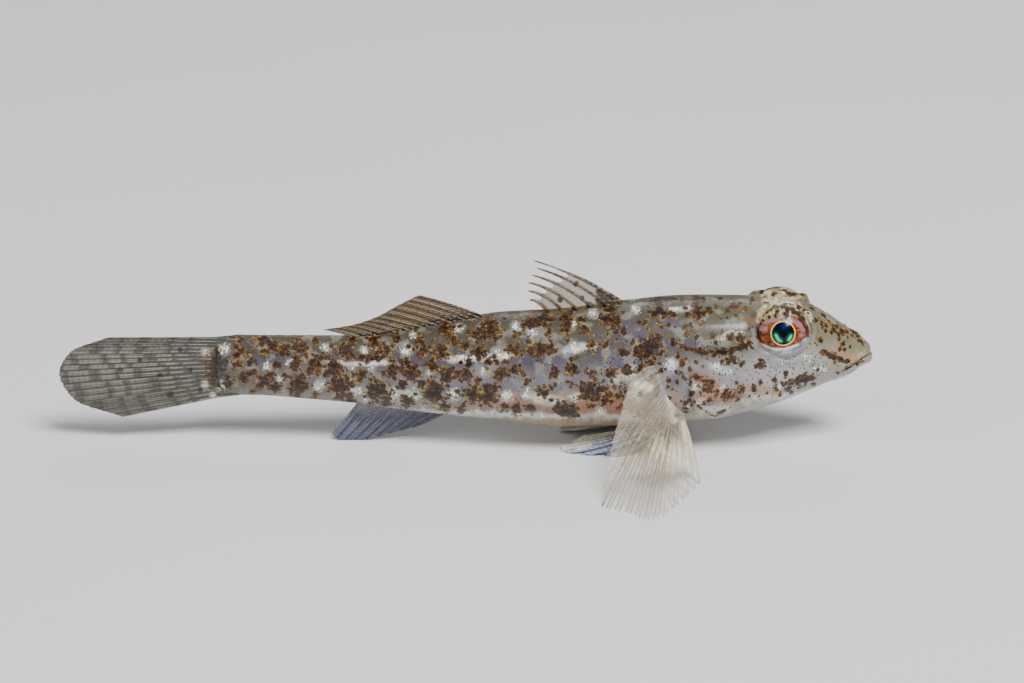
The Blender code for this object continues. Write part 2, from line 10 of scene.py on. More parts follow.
import bmesh
import bpy
import numpy as np
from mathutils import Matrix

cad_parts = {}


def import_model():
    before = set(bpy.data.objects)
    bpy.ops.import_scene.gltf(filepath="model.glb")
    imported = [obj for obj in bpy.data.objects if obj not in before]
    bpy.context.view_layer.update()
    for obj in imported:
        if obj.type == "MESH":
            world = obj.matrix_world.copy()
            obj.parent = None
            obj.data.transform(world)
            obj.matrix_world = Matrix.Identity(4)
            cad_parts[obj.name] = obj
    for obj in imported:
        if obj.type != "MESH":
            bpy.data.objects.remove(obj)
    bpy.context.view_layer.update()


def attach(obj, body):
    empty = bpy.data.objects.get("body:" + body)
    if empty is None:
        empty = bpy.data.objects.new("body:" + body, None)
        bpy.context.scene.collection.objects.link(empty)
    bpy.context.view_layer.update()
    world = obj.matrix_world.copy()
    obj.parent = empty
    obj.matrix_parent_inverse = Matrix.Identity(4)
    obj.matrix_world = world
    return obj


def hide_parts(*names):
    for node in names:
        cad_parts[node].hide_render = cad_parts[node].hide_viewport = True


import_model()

MM = 0.001
STANDARD_LENGTH = 40.0
TOTAL_LENGTH = 50.6
AXIS_HEIGHT = 5.0

# The photograph's view: its frame, the scale in the fish's middle plane and the camera
FRAME_WIDTH = 1024
FRAME_HEIGHT = 683
PIXELS_PER_MM = 16.125
SNOUT_PIXEL = (873.0, 366.0)
CAMERA_ELEVATION = math.radians(21.0)
CAMERA_DISTANCE = 185.0
SENSOR_WIDTH = 36.0

# Distance from the snout, top height, bottom height, half width, fullness of the section
BODY = [
    (0.0, 0.66, 0.66, 0.0, 2.0),
    (0.15, 1.20, 0.30, 0.42, 2.0),
    (0.62, 1.86, 0.15, 0.84, 2.0),
    (0.95, 2.20, -0.10, 1.04, 2.05),
    (1.55, 2.50, -0.58, 1.32, 2.1),
    (2.67, 3.28, -0.89, 1.80, 2.15),
    (4.03, 4.00, -1.46, 2.28, 2.2),
    (5.52, 4.35, -2.03, 2.70, 2.25),
    (8.25, 4.46, -2.87, 3.12, 2.3),
    (11.7, 4.49, -3.43, 3.38, 2.2),
    (14.6, 4.25, -3.65, 3.33, 2.15),
    (19.6, 3.61, -3.81, 3.05, 2.1),
    (23.1, 3.44, -3.44, 2.72, 2.1),
    (26.3, 2.86, -3.12, 2.30, 2.05),
    (29.5, 2.29, -2.76, 1.82, 2.0),
    (31.8, 1.96, -2.44, 1.48, 2.0),
    (35.1, 2.00, -2.14, 1.18, 2.0),
    (38.6, 2.04, -1.89, 0.95, 2.0),
    (41.0, 2.14, -1.92, 0.78, 2.0),
]
TAIL_ROUND_START = STANDARD_LENGTH - 0.8
TAIL_ROUND_END = STANDARD_LENGTH + 0.9

# Share of the skin's rings and the distance they have reached: closer rings on the head
SKIN_RINGS = 455
SKIN_SIDES = 210
SKIN_SPACING = [(0.0, 0.0), (0.02, 0.02), (0.05, 0.22), (0.13, 1.3), (0.40, 8.0), (0.55, 13.0),
                (1.0, TAIL_ROUND_END)]

# Rear edge of the gill cover: angle round the body from the top, distance from the snout
GILL_EDGE = [(0, 12.1), (45, 11.8), (80, 11.35), (105, 11.45), (125, 10.9), (148, 9.9), (180, 9.3)]
GILL_RAISE = 0.17
GILL_RAISE_WIDTH = 0.9
GILL_STEP = 0.12
GILL_STEP_WIDTH = 0.35
CHEEK_EDGE = [(-2.8, 8.2), (-1.0, 8.6), (0.6, 8.75), (1.4, 8.3)]
CHEEK_STEP = 0.12
CHEEK_STEP_WIDTH = 0.22

# Soft swellings of both sides: distance, height, spread along, spread up, amount
SWELLINGS = [
    (7.0, -0.9, 1.3, 1.0, 0.16),
    (10.1, -0.6, 0.9, 1.2, 0.12),
    (3.2, 1.6, 0.7, 0.5, -0.10),
    (12.9, -1.1, 0.7, 1.25, 0.38),
    (4.35, 3.7, 0.55, 0.5, 0.34),
]

# Mouth: distance, height of the cleft
MOUTH = [(0.0, 1.0), (0.2, 0.98), (0.63, 0.86), (1.7, 0.27), (2.3, 0.02), (3.85, -0.36)]
MOUTH_BACK = 2.1
MOUTH_FADE = 0.9
CLEFT_DEPTH = 0.20
CLEFT_WIDTH = 0.07
UPPER_LIP_RISE = 0.15
LOWER_LIP_RISE = 0.12
LIP_OFFSET = 0.33
LIP_SPREAD = 0.2
LIP_START = 0.5

EYE_DISTANCE = 5.78
EYE_HEIGHT = 3.03
EYE_SIDE = 2.05
EYE_RADIUS = 1.65
EYE_DEPTH = 0.98
EYE_TILT = math.radians(21.0)
EYE_CENTRE = np.array([-EYE_DISTANCE, -EYE_SIDE, EYE_HEIGHT])
EYE_AXIS = np.array([0.0, -math.cos(EYE_TILT), math.sin(EYE_TILT)])
EYE_UP = np.array([0.0, math.sin(EYE_TILT), math.cos(EYE_TILT)])
PUPIL_PLACE = (-0.10, -0.08)
PUPIL_RADIUS = 0.68
PUPIL_SOFTNESS = 0.02
GOLD_RING = 0.10
EYE_SEGMENTS = 160
EYE_RINGS = 110
CORNEA_RISE = 0.10
CORNEA_SPREAD = math.radians(32.0)
ORBIT_GROOVE = 0.12
ORBIT_REAR_GROOVE = 0.30
ORBIT_GROOVE_WIDTH = 0.22
ORBIT_RISE = 0.06
ORBIT_RIM_PLACE = 0.32
ORBIT_RIM_WIDTH = 0.20
ORBIT_BROW = 0.34
ORBIT_BROW_PLACE = 0.16
ORBIT_BROW_WIDTH = 0.26
ORBIT_FOLD = 0.16
ORBIT_FOLD_PLACE = 0.05

# Nostrils: distance, angle from the top, rim radius, rim rise, hole depth
NOSTRILS = [(1.75, 42.0, 0.16, 0.16, 0.34), (3.05, 36.0, 0.15, 0.05, 0.25)]
NOSTRIL_RIM_WIDTH = 0.075

# Scales: length along the body, height of a row, how far the free edge stands up
SCALES_START = 12.2
SCALE_LENGTH = 0.86
SCALE_HEIGHT = 0.74
SCALE_RISE = 0.022

# Samples round half the body and along it, where the distance round it is measured
GIRTH_SAMPLES = 61
LENGTH_SAMPLES = 140

SIDES = ((-1, "right"), (1, "left"))

# A mark falls to half its strength at its radius, as the exponential of this is 2
MARK_FALL = 0.69

# Points of a piece that are closer than this, in metres, are sewn together
SEAM = 2e-7


def curve_through(points, at):
    """Height of a smooth curve through the points, without overshoot, at one place or many."""
    xs = np.array([p[0] for p in points], float)
    ys = np.array([p[1] for p in points], float)
    at = np.clip(np.asarray(at, float), xs[0], xs[-1])
    steps = np.diff(xs)
    rises = np.diff(ys) / steps
    slopes = np.zeros(len(xs))
    slopes[0] = rises[0]
    slopes[-1] = rises[-1]
    for i in range(1, len(xs) - 1):
        if rises[i - 1] * rises[i] > 0:
            left = 2 * steps[i] + steps[i - 1]
            right = steps[i] + 2 * steps[i - 1]
            slopes[i] = (left + right) / (left / rises[i - 1] + right / rises[i])
    k = np.clip(np.searchsorted(xs, at, side="right") - 1, 0, len(xs) - 2)
    t = (at - xs[k]) / steps[k]
    start = (2 * t**3 - 3 * t**2 + 1) * ys[k] + (t**3 - 2 * t**2 + t) * steps[k] * slopes[k]
    end = (3 * t**2 - 2 * t**3) * ys[k + 1] + (t**3 - t**2) * steps[k] * slopes[k + 1]
    return start + end


def smooth_step(low, high, value):
    t = np.clip((value - low) / (high - low), 0.0, 1.0)
    return t * t * (3 - 2 * t)


def bump(value, width):
    """Soft hump that is 1 at zero and fades over the width."""
    return np.exp(-((value / width) ** 2))


def unit(vectors):
    size = np.sqrt((vectors**2).sum(axis=-1, keepdims=True))
    return vectors / np.maximum(size, 1e-12)


def body_column(index):
    """One column of the body table against the root of the distance, so the snout is round."""
    return [(math.sqrt(row[0]), row[index]) for row in BODY]


TOP = body_column(1)
BOTTOM = body_column(2)
HALF_WIDTH = body_column(3)
FULLNESS = body_column(4)


def plain_point(distance, angle):
    """Point of the body without its relief, in millimetres from the snout tip and the axis."""
    place = np.sqrt(np.clip(distance, 0.0, None))
    top = curve_through(TOP, place)
    bottom = curve_through(BOTTOM, place)
    past = np.clip((distance - TAIL_ROUND_START) / (TAIL_ROUND_END - TAIL_ROUND_START), 0.0, 1.0)
    shrink = np.sqrt(1.0 - past**2)
    half = (top - bottom) / 2 * shrink**0.6
    width = curve_through(HALF_WIDTH, place) * shrink
    power = 2.0 / curve_through(FULLNESS, place)
    up = np.cos(angle)
    side = np.sin(angle)
    y = -width * np.sign(side) * np.abs(side) ** power
    z = (top + bottom) / 2 + half * np.sign(up) * np.abs(up) ** power
    return np.stack([-np.asarray(distance) + 0.0 * y, y, z], axis=-1)


def gill_edge(angle):
    turn = np.degrees(np.abs(np.arctan2(np.sin(angle), np.cos(angle))))
    return curve_through(GILL_EDGE, turn)


def over_mouth(distance, height):
    return height - curve_through(MOUTH, distance)


def mouth_share(distance):
    """1 along the mouth, fading out at its corner."""
    return 1 - smooth_step(MOUTH_BACK - 0.6, MOUTH_BACK + 0.3, distance)


def to_right(points):
    """The points with the left side folded on the right one."""
    return points * np.array([1.0, 0.0, 1.0]) - np.abs(points) * np.array([0.0, 1.0, 0.0])


def eye_gap(points):
    """Distance from the nearer eye's surface, and how far the place lies behind and above the eye."""
    away = to_right(points) - EYE_CENTRE
    deep = away @ EYE_AXIS
    flat = np.sqrt(np.maximum((away**2).sum(axis=-1) - deep**2, 1e-12))
    gap = (np.sqrt((flat / EYE_RADIUS) ** 2 + (deep / EYE_DEPTH) ** 2) - 1) * EYE_RADIUS
    return gap, -away[..., 0] / flat, (away @ EYE_UP) / flat


def gill_relief(distance, angle, height, flank):
    """Raised rear edge of the gill cover with the step behind it."""
    behind = distance - gill_edge(angle)
    cover = GILL_RAISE * bump(behind, GILL_RAISE_WIDTH)
    below = -GILL_STEP * bump(behind, GILL_STEP_WIDTH)
    low = 1 - smooth_step(0.0, 1.4, height)
    return flank * low * (cover + (below - cover) * smooth_step(-0.06, 0.12, behind))


def cheek_relief(distance, height, flank):
    """Shallow groove behind the cheek."""
    on_cheek = flank * smooth_step(-3.4, -2.6, height) * (1 - smooth_step(1.2, 2.0, height))
    return -CHEEK_STEP * on_cheek * bump(distance - curve_through(CHEEK_EDGE, height), CHEEK_STEP_WIDTH)


def mouth_relief(distance, height):
    """Both lips and the cleft between them."""
    over = over_mouth(distance, height)
    lips = smooth_step(0.0, LIP_START, distance)
    lips = lips * (1 - smooth_step(MOUTH_BACK - MOUTH_FADE, MOUTH_BACK + 0.2, distance))
    rise = lips * UPPER_LIP_RISE * bump(over - LIP_OFFSET, LIP_SPREAD)
    rise = rise + lips * LOWER_LIP_RISE * bump(over + LIP_OFFSET, LIP_SPREAD)
    return rise - CLEFT_DEPTH * mouth_share(distance) * bump(over, CLEFT_WIDTH)


def orbit_relief(points):
    """Groove, rim, brow and fold round the eye."""
    gap, behind_eye, above_eye = eye_gap(points)
    brow = smooth_step(0.0, 0.5, above_eye)
    fold = smooth_step(0.3, 0.9, -above_eye)
    rear = smooth_step(0.2, 0.9, behind_eye)
    groove = (ORBIT_GROOVE * (1 - fold) + ORBIT_REAR_GROOVE * rear) * (1 - brow)
    rise = ORBIT_RISE * bump(gap - ORBIT_RIM_PLACE, ORBIT_RIM_WIDTH)
    rise = rise + ORBIT_BROW * brow * bump(gap - ORBIT_BROW_PLACE, ORBIT_BROW_WIDTH)
    rise = rise + ORBIT_FOLD * fold * bump(gap - ORBIT_FOLD_PLACE, ORBIT_RIM_WIDTH)
    return rise - groove * bump(np.maximum(gap, 0.0), ORBIT_GROOVE_WIDTH)


def from_nostril(points, distance, turn):
    """How far the points lie from the middle of a nostril of their own side."""
    centre = plain_point(np.array([distance]), np.array([math.radians(turn)]))[0]
    return np.sqrt(((to_right(points) - centre) ** 2).sum(axis=-1))


def head_relief(distance, angle, points):
    """Lips, mouth cleft, nostrils, orbits, cheek, gill cover and the fleshy base of the fin."""
    height = points[..., 2]
    flank = smooth_step(0.25, 0.65, np.abs(np.sin(angle)))
    rise = np.zeros(np.shape(height))
    for along, up, spread_along, spread_up, amount in SWELLINGS:
        far = ((distance - along) / spread_along) ** 2 + ((height - up) / spread_up) ** 2
        rise = rise + amount * flank * np.exp(-far)
    rise = rise + gill_relief(distance, angle, height, flank) + cheek_relief(distance, height, flank)
    rise = rise + mouth_relief(distance, height) + orbit_relief(points)
    for place, turn, radius, rim, depth in NOSTRILS:
        away = from_nostril(points, place, turn)
        rise = rise + rim * bump(away - radius, NOSTRIL_RIM_WIDTH) - depth * bump(away, radius * 0.6)
    return rise


def round_place(distance, angle):
    """Distance round the body from the middle of its side, up positive, in millimetres."""
    samples = np.linspace(0.0, math.pi, GIRTH_SAMPLES)
    stations = np.linspace(0.0, TAIL_ROUND_END, LENGTH_SAMPLES)
    rows = plain_point(*np.meshgrid(stations, samples, indexing="ij"))
    steps = np.sqrt((np.diff(rows[..., 1:], axis=1) ** 2).sum(axis=-1))
    total = np.concatenate([np.zeros((LENGTH_SAMPLES, 1)), np.cumsum(steps, axis=1)], axis=1)
    middle = GIRTH_SAMPLES // 2
    total = total[:, middle:middle + 1] - total
    turn = np.abs(np.arctan2(np.sin(angle), np.cos(angle)))
    column = np.clip(turn / math.pi * (GIRTH_SAMPLES - 1), 0, GIRTH_SAMPLES - 1.001)
    row = np.clip(distance / TAIL_ROUND_END * (LENGTH_SAMPLES - 1), 0, LENGTH_SAMPLES - 1.001)
    r = row.astype(int)
    c = column.astype(int)
    past_row = row - r
    past_column = column - c
    upper = total[r, c] * (1 - past_column) + total[r, c + 1] * past_column
    lower = total[r + 1, c] * (1 - past_column) + total[r + 1, c + 1] * past_column
    return upper * (1 - past_row) + lower * past_row


def scale_lattice(distance, angle):
    """Place in the diamond lattice of the scales, along its two slanting directions."""
    along = distance / SCALE_LENGTH
    up = round_place(distance, angle) / SCALE_HEIGHT
    return along + up, along - up


def scale_relief(distance, angle):
    """Each scale rises slowly to its rear edge and drops to the next one."""
    first, second = scale_lattice(distance, angle)
    toward_rear = ((first % 1.0) + (second % 1.0)) / 2
    edge = np.minimum(1 - first % 1.0, 1 - second % 1.0)
    lift = toward_rear * smooth_step(0.0, 0.16, edge)
    cover = smooth_step(SCALES_START, SCALES_START + 2.5, distance)
    cover = cover * (1 - smooth_step(STANDARD_LENGTH - 0.6, STANDARD_LENGTH + 0.4, distance))
    return SCALE_RISE * cover * lift


def skin_point(distance, angle):
    """Skin with all its relief, in millimetres from the snout tip and the axis."""
    small = 0.01
    ahead = np.clip(distance - small, 0.002, None)
    kept = np.clip(distance, 0.002, None)
    here = plain_point(distance, angle)
    along = plain_point(ahead + 2 * small, angle) - plain_point(ahead, angle)
    round_it = plain_point(kept, angle + small) - plain_point(kept, angle - small)
    normal = unit(np.cross(along, round_it))
    normal = np.where((distance < 1e-6)[..., None], np.array([1.0, 0.0, 0.0]), normal)
    rise = head_relief(distance, angle, here) + scale_relief(distance, angle)
    rise = rise * smooth_step(0.0, 0.08, distance)
    rise = rise * (1 - smooth_step(TAIL_ROUND_END - 0.3, TAIL_ROUND_END, distance))
    return here + normal * rise[..., None], normal


def world(points):
    """From millimetres about the snout tip and the axis to metres in the part's frame."""
    moved = np.asarray(points, float) + np.array([TOTAL_LENGTH / 2, 0.0, AXIS_HEIGHT])
    return moved * MM


# Camera

VIEW = np.array([0.0, math.cos(CAMERA_ELEVATION), -math.sin(CAMERA_ELEVATION)])
VIEW_UP = np.array([0.0, math.sin(CAMERA_ELEVATION), math.cos(CAMERA_ELEVATION)])
PICTURE_CENTRE = np.array([
    -(SNOUT_PIXEL[0] - FRAME_WIDTH / 2) / PIXELS_PER_MM,
    0.0,
    (SNOUT_PIXEL[1] - FRAME_HEIGHT / 2) / (PIXELS_PER_MM * math.cos(CAMERA_ELEVATION)),
])
CAMERA_PLACE = PICTURE_CENTRE - VIEW * CAMERA_DISTANCE


def photo_place(points):
    """Where points lie in the photograph, in pixels, the left side folded on the right one."""
    away = to_right(points) - CAMERA_PLACE
    depth = away @ VIEW
    focal = PIXELS_PER_MM * CAMERA_DISTANCE
    across = focal * away[:, 0] / depth
    up = focal * (away @ VIEW_UP) / depth
    return FRAME_WIDTH / 2 + across, FRAME_HEIGHT / 2 - up


def marks_at(place, marks):
    """Strength of spots (x, y, radius) and streaks (x, y, x, y, radius), half at their edge."""
    x, y = place
    strength = np.zeros(len(x))
    for mark in marks:
        x0, y0, radius = mark[0], mark[1], mark[-1]
        dx, dy = x - x0, y - y0
        if len(mark) == 5:
            run = (mark[2] - x0, mark[3] - y0)
            share = np.clip((dx * run[0] + dy * run[1]) / (run[0] ** 2 + run[1] ** 2), 0.0, 1.0)
            dx, dy = dx - share * run[0], dy - share * run[1]
        far = (dx**2 + dy**2) / radius**2
        strength = np.maximum(strength, np.exp(-MARK_FALL * far))
    return strength


def place_camera():
    """Camera where the photograph was taken from, with its framing."""
    data = bpy.data.cameras.new("camera")
    data.sensor_width = SENSOR_WIDTH
    data.lens = PIXELS_PER_MM * CAMERA_DISTANCE / FRAME_WIDTH * SENSOR_WIDTH
    data.clip_start = 0.01
    data.clip_end = 20.0
    camera = bpy.data.objects.new("camera", data)
    camera.location = world(CAMERA_PLACE)
    camera.rotation_euler = (math.pi / 2 - CAMERA_ELEVATION, 0.0, 0.0)
    bpy.context.scene.collection.objects.link(camera)
    bpy.context.scene.camera = camera


# Colours of the spots, the flakes and the skin; a list is a ramp of (place, colour) stops
NO_COLOUR_YET = (0.3, 0.3, 0.3)
SPOT_GOLD = [(0.36, (0.080, 0.040, 0.010)), (0.50, (0.16, 0.092, 0.014)), (0.60, (0.32, 0.215, 0.026)),
             (0.68, (0.74, 0.50, 0.06))]
SPOT_BROWN = [(0.34, (0.020, 0.007, 0.005)), (0.50, (0.048, 0.015, 0.006)), (0.64, (0.115, 0.036, 0.007))]
SPOT_DEEP = (0.013, 0.006, 0.005)
SPOT_CELL = (0.004, 0.0025, 0.0025)
DARK_BLOTCH = (0.007, 0.005, 0.009)
FLAKE_CLOUD = (0.36, 0.36, 0.30)
FLAKE_TINTS = [(0.35, (0.85, 0.74, 0.66)), (0.47, (0.90, 0.92, 0.80)), (0.60, (0.74, 0.86, 0.94))]
SIDE_TONES = [(0.0, (0.26, 0.235, 0.155)), (0.07, (0.28, 0.265, 0.20)), (0.13, (0.375, 0.37, 0.39)),
              (0.24, (0.25, 0.235, 0.245)), (0.34, (0.158, 0.153, 0.176)), (0.62, (0.148, 0.140, 0.164)),
              (1.0, (0.104, 0.086, 0.068))]
BACK_TONES = [(0.0, (0.20, 0.175, 0.11)), (0.14, (0.130, 0.118, 0.076)), (0.24, (0.082, 0.076, 0.052)),
              (0.45, (0.064, 0.058, 0.043)), (1.0, (0.062, 0.050, 0.035))]
BELLY_TONES = [(0.0, (0.30, 0.28, 0.28)), (0.2, (0.38, 0.34, 0.31)), (0.36, (0.30, 0.21, 0.125)),
               (0.55, (0.27, 0.21, 0.145)), (0.75, (0.21, 0.18, 0.16)), (1.0, (0.15, 0.13, 0.115))]
VIOLET_TONE = (0.075, 0.058, 0.120)
CLOUD_TONE = (0.36, 0.36, 0.31)
PINK_TONE = (0.31, 0.115, 0.075)
TAN_TONE = (0.36, 0.17, 0.07)
CROWN_TONES = [(0.36, (0.25, 0.17, 0.055)), (0.50, (0.42, 0.35, 0.19)), (0.64, (0.66, 0.63, 0.50))]
# The pearl tones are a painted sheen: pastel highlights that stand in for the skin's iridescence
PEARL_SHEEN_TONES = [(0.30, (0.80, 0.52, 0.38)), (0.44, (0.78, 0.74, 0.56)), (0.54, (0.58, 0.76, 0.70)),
               (0.68, (0.50, 0.53, 0.78))]
SCALE_LINE = (0.32, 0.31, 0.35)
SPECK = (0.010, 0.006, 0.006)
ORANGE_TONE = (0.26, 0.075, 0.015)
# Painted shade for the creases: mouth cleft, nostrils, in front of the eye and along the gill cover's edge
CREASE_SHADE_TONE = (0.050, 0.030, 0.026)

# Colours of the eye and of the fins' patches
IRIS_TONES = [(0.36, (0.030, 0.007, 0.004)), (0.46, (0.11, 0.020, 0.004)), (0.56, (0.24, 0.052, 0.007)),
              (0.68, (0.38, 0.16, 0.07))]
ROSY_TONES = ((0.17, 0.055, 0.065), (0.42, 0.23, 0.27))
SILVER_TONES = [(0.34, (0.15, 0.17, 0.20)), (0.52, (0.27, 0.30, 0.33)), (0.68, (0.50, 0.53, 0.54))]
FOLD_TONES = ((0.20, 0.19, 0.195), (0.36, 0.35, 0.36))
WHITE_LINE = (0.80, 0.82, 0.84)
LID_TONES = [(0.36, (0.17, 0.135, 0.06)), (0.50, (0.31, 0.27, 0.16)), (0.66, (0.46, 0.43, 0.32))]
EYE_ORANGE = (0.40, 0.07, 0.012)
EYE_RIM_TONE = (0.045, 0.020, 0.012)
PUPIL_GOLD = (0.84, 0.50, 0.05)
LENS_DARK = (0.0008, 0.0025, 0.004)
# The lens's blue, green and glint colours are painted reflections of the lights
LENS_BLUE_REFLECTION = (0.002, 0.008, 0.12)
LENS_GREEN_REFLECTION = (0.01, 0.33, 0.22)
LENS_GLINT_HIGHLIGHT = (0.10, 0.66, 0.40)
FIN_MILK = (0.84, 0.77, 0.56)
FIN_SPECK = (0.05, 0.03, 0.02)

# Joints of a ray: turns of their wave, in radians for each millimetre of the ray
JOINT_PACE = 18.0


# Shader pieces

def node(tree, kind, inputs=None, **settings):
    """New shader node with its settings, its inputs set or linked."""
    made = tree.nodes.new("ShaderNode" + kind)
    for name, value in settings.items():
        setattr(made, name, value)
    for key, value in (inputs or {}).items():
        if isinstance(value, bpy.types.NodeSocket):
            tree.links.new(value, made.inputs[key])
        else:
            made.inputs[key].default_value = value
    return made


def opaque(colour):
    """A plain colour with its alpha; a socket stays as it is."""
    return colour if isinstance(colour, bpy.types.NodeSocket) else (*colour, 1.0)


def blend_colour(tree, factor, below, above, how="MIX"):
    values = {0: factor, 6: opaque(below), 7: opaque(above)}
    return node(tree, "Mix", values, data_type="RGBA", blend_type=how).outputs[2]


def sums(tree, operation, *values):
    return node(tree, "Math", dict(enumerate(values)), operation=operation).outputs[0]


def times(tree, first, second):
    return sums(tree, "MULTIPLY", first, second)


def plus(tree, first, second):
    return sums(tree, "ADD", first, second)


def times_plus(tree, first, second, third):
    """First times second, plus third."""
    return sums(tree, "MULTIPLY_ADD", first, second, third)


def largest(tree, first, *others):
    for other in others:
        first = sums(tree, "MAXIMUM", first, other)
    return first


def lay(tree, colour, cover, share, tint):
    """The colour with a tint over it, as strong as the cover times the share."""
    return blend_colour(tree, times(tree, cover, share), colour, tint)


def step_between(tree, value, low, high):
    values = {"Value": value, "From Min": low, "From Max": high}
    return node(tree, "MapRange", values, interpolation_type="SMOOTHSTEP").outputs[0]


def between(tree, value, low, high):
    """A value from 0 to 1 spread from low to high."""
    return node(tree, "MapRange", {"Value": value, "To Min": low, "To Max": high}).outputs[0]


def ramp(tree, value, stops):
    """Colour ramp through (place, colour) stops."""
    made = node(tree, "ValToRGB", {0: value})
    points = made.color_ramp.elements
    for k, (place, colour) in enumerate(stops):
        point = points[k] if k < 2 else points.new(place)
        point.position = place
        point.color = opaque(colour)
    return made.outputs[0]


def mask(tree, name):
    """Value of one of the piece's own attributes."""
    return node(tree, "Attribute", attribute_name=name).outputs["Fac"]


def noise(tree, place, scale, detail=2.0):
    return node(tree, "TexNoise", {"Vector": place, "Scale": scale, "Detail": detail}).outputs[0]


def wide_noise(tree, place, scale, reach, detail=2.0):
    """Noise about zero, spread over the reach."""
    level = sums(tree, "SUBTRACT", noise(tree, place, scale, detail), 0.5)
    return times(tree, level, reach)


def patches(tree, place, name, scale, reach, low, high, detail=3.0):
    """Patches of one of the piece's own attributes, with their edges broken up by noise."""
    level = plus(tree, mask(tree, name), wide_noise(tree, place, scale, reach, detail))
    return step_between(tree, level, low, high)


def cells_at(tree, place, scale):
    """Distance from the middle of the nearest cell, and the cell's own random numbers."""
    cells = node(tree, "TexVoronoi", {"Vector": place, "Scale": scale})
    return cells.outputs["Distance"], node(tree, "SeparateColor", {0: cells.outputs["Color"]}).outputs


def relief(tree, strength, depth, height):
    return node(tree, "Bump", {"Strength": strength, "Distance": depth, "Height": height}).outputs[0]


def in_millimetres(tree):
    """Object coordinates in millimetres."""
    place = node(tree, "TexCoord").outputs["Object"]
    return node(tree, "Mapping", {"Vector": place, "Scale": (1000.0, 1000.0, 1000.0)}).outputs[0]


def new_group(name, inputs, outputs):
    """Empty shader group with its sockets, and its input and output nodes."""
    group = bpy.data.node_groups.new(name, "ShaderNodeTree")
    for label, kind, value in inputs:
        socket = group.interface.new_socket(label, in_out="INPUT", socket_type="NodeSocket" + kind)
        if value is not None:
            socket.default_value = value
    for label, kind in outputs:
        group.interface.new_socket(label, in_out="OUTPUT", socket_type="NodeSocket" + kind)
    return group, group.nodes.new("NodeGroupInput").outputs, group.nodes.new("NodeGroupOutput")


def placed(tree, group, **inputs):
    """One of the shader groups placed in a material with its own values."""
    return node(tree, "Group", inputs, node_tree=group).outputs


def make_dots_group():
    """Scattered round dots: pigment cells of one size, some left out."""
    sockets = [("Place", "Vector", None), ("Scale", "Float", 8.0), ("Size", "Float", 0.3),
               ("Share", "Float", 0.5)]
    group, given, out = new_group("pigment dots", sockets, [("Dots", "Float")])
    away, chance = cells_at(group, given["Place"], given["Scale"])
    soft = plus(group, given["Size"], 0.08)
    values = {"Value": away, "From Min": soft, "From Max": given["Size"]}
    inside = node(group, "MapRange", values).outputs[0]
    chosen = sums(group, "LESS_THAN", chance[0], given["Share"])
    group.links.new(times(group, inside, chosen), out.inputs[0])
    return group


def lobes(tree, place, scale, least=0.16, spread=0.34):
    """Depth inside round lobes: cells of one size, each with its own radius."""
    away, chance = cells_at(tree, place, scale)
    radius = times_plus(tree, chance[0], spread, least)
    return sums(tree, "SUBTRACT", radius, away)


def stray_spots(tree, place, share):
    """Small spots between the placed ones, as many as the share gives."""
    away, chance = cells_at(tree, place, 1.8)
    radius = times_plus(tree, chance[1], 0.20, 0.14)
    depth = sums(tree, "SUBTRACT", radius, away)
    shown = sums(tree, "LESS_THAN", chance[0], share)
    return times(tree, times_plus(tree, depth, 2.2, 0.5), shown)


def make_spots_group():
    """Brown spots: ragged clusters of fine dark pigment cells over a golden-brown stain."""
    sockets = [("Place", "Vector", None), ("Under", "Color", opaque(NO_COLOUR_YET)),
               ("Strength", "Float", 0.0), ("Strays", "Float", 0.0), ("Dark", "Float", 0.0)]
    group, given, out = new_group("brown spots", sockets, [("Colour", "Color")])
    place = given["Place"]
    strength = given["Strength"]
    ragged = times_plus(group, lobes(group, place, 3.6), 0.8, wide_noise(group, place, 2.4, 1.5, 3.0))
    near_mark = step_between(group, strength, 0.04, 0.34)
    marked = times_plus(group, strength, 1.15, times(group, ragged, near_mark))
    field = largest(group, marked, stray_spots(group, place, given["Strays"]))
    field = plus(group, field, wide_noise(group, place, 7.0, 0.5))
    mottle = noise(group, place, 4.5, 3.0)
    rim = step_between(group, field, 0.28, 0.44)
    colour = lay(group, given["Under"], rim, 0.74, ramp(group, mottle, SPOT_GOLD))
    core = step_between(group, field, 0.38, 0.60)
    colour = lay(group, colour, core, 0.88, ramp(group, mottle, SPOT_BROWN))
    colour = lay(group, colour, step_between(group, field, 0.75, 1.25), 0.75, SPOT_DEEP)
    size = times_plus(group, field, 0.30, 0.13)
    cells = placed(group, dots_group, Place=place, Scale=8.2, Size=size, Share=0.92)
    near = times(group, cells["Dots"], step_between(group, field, 0.12, 0.40))
    colour = lay(group, colour, near, 0.92, SPOT_CELL)
    dark = times_plus(group, lobes(group, place, 5.0), 0.7, given["Dark"])
    dark = plus(group, dark, wide_noise(group, place, 3.0, 0.8, 3.0))
    colour = lay(group, colour, step_between(group, dark, 0.40, 0.90), 0.75, DARK_BLOTCH)
    group.links.new(colour, out.inputs[0])
    return group


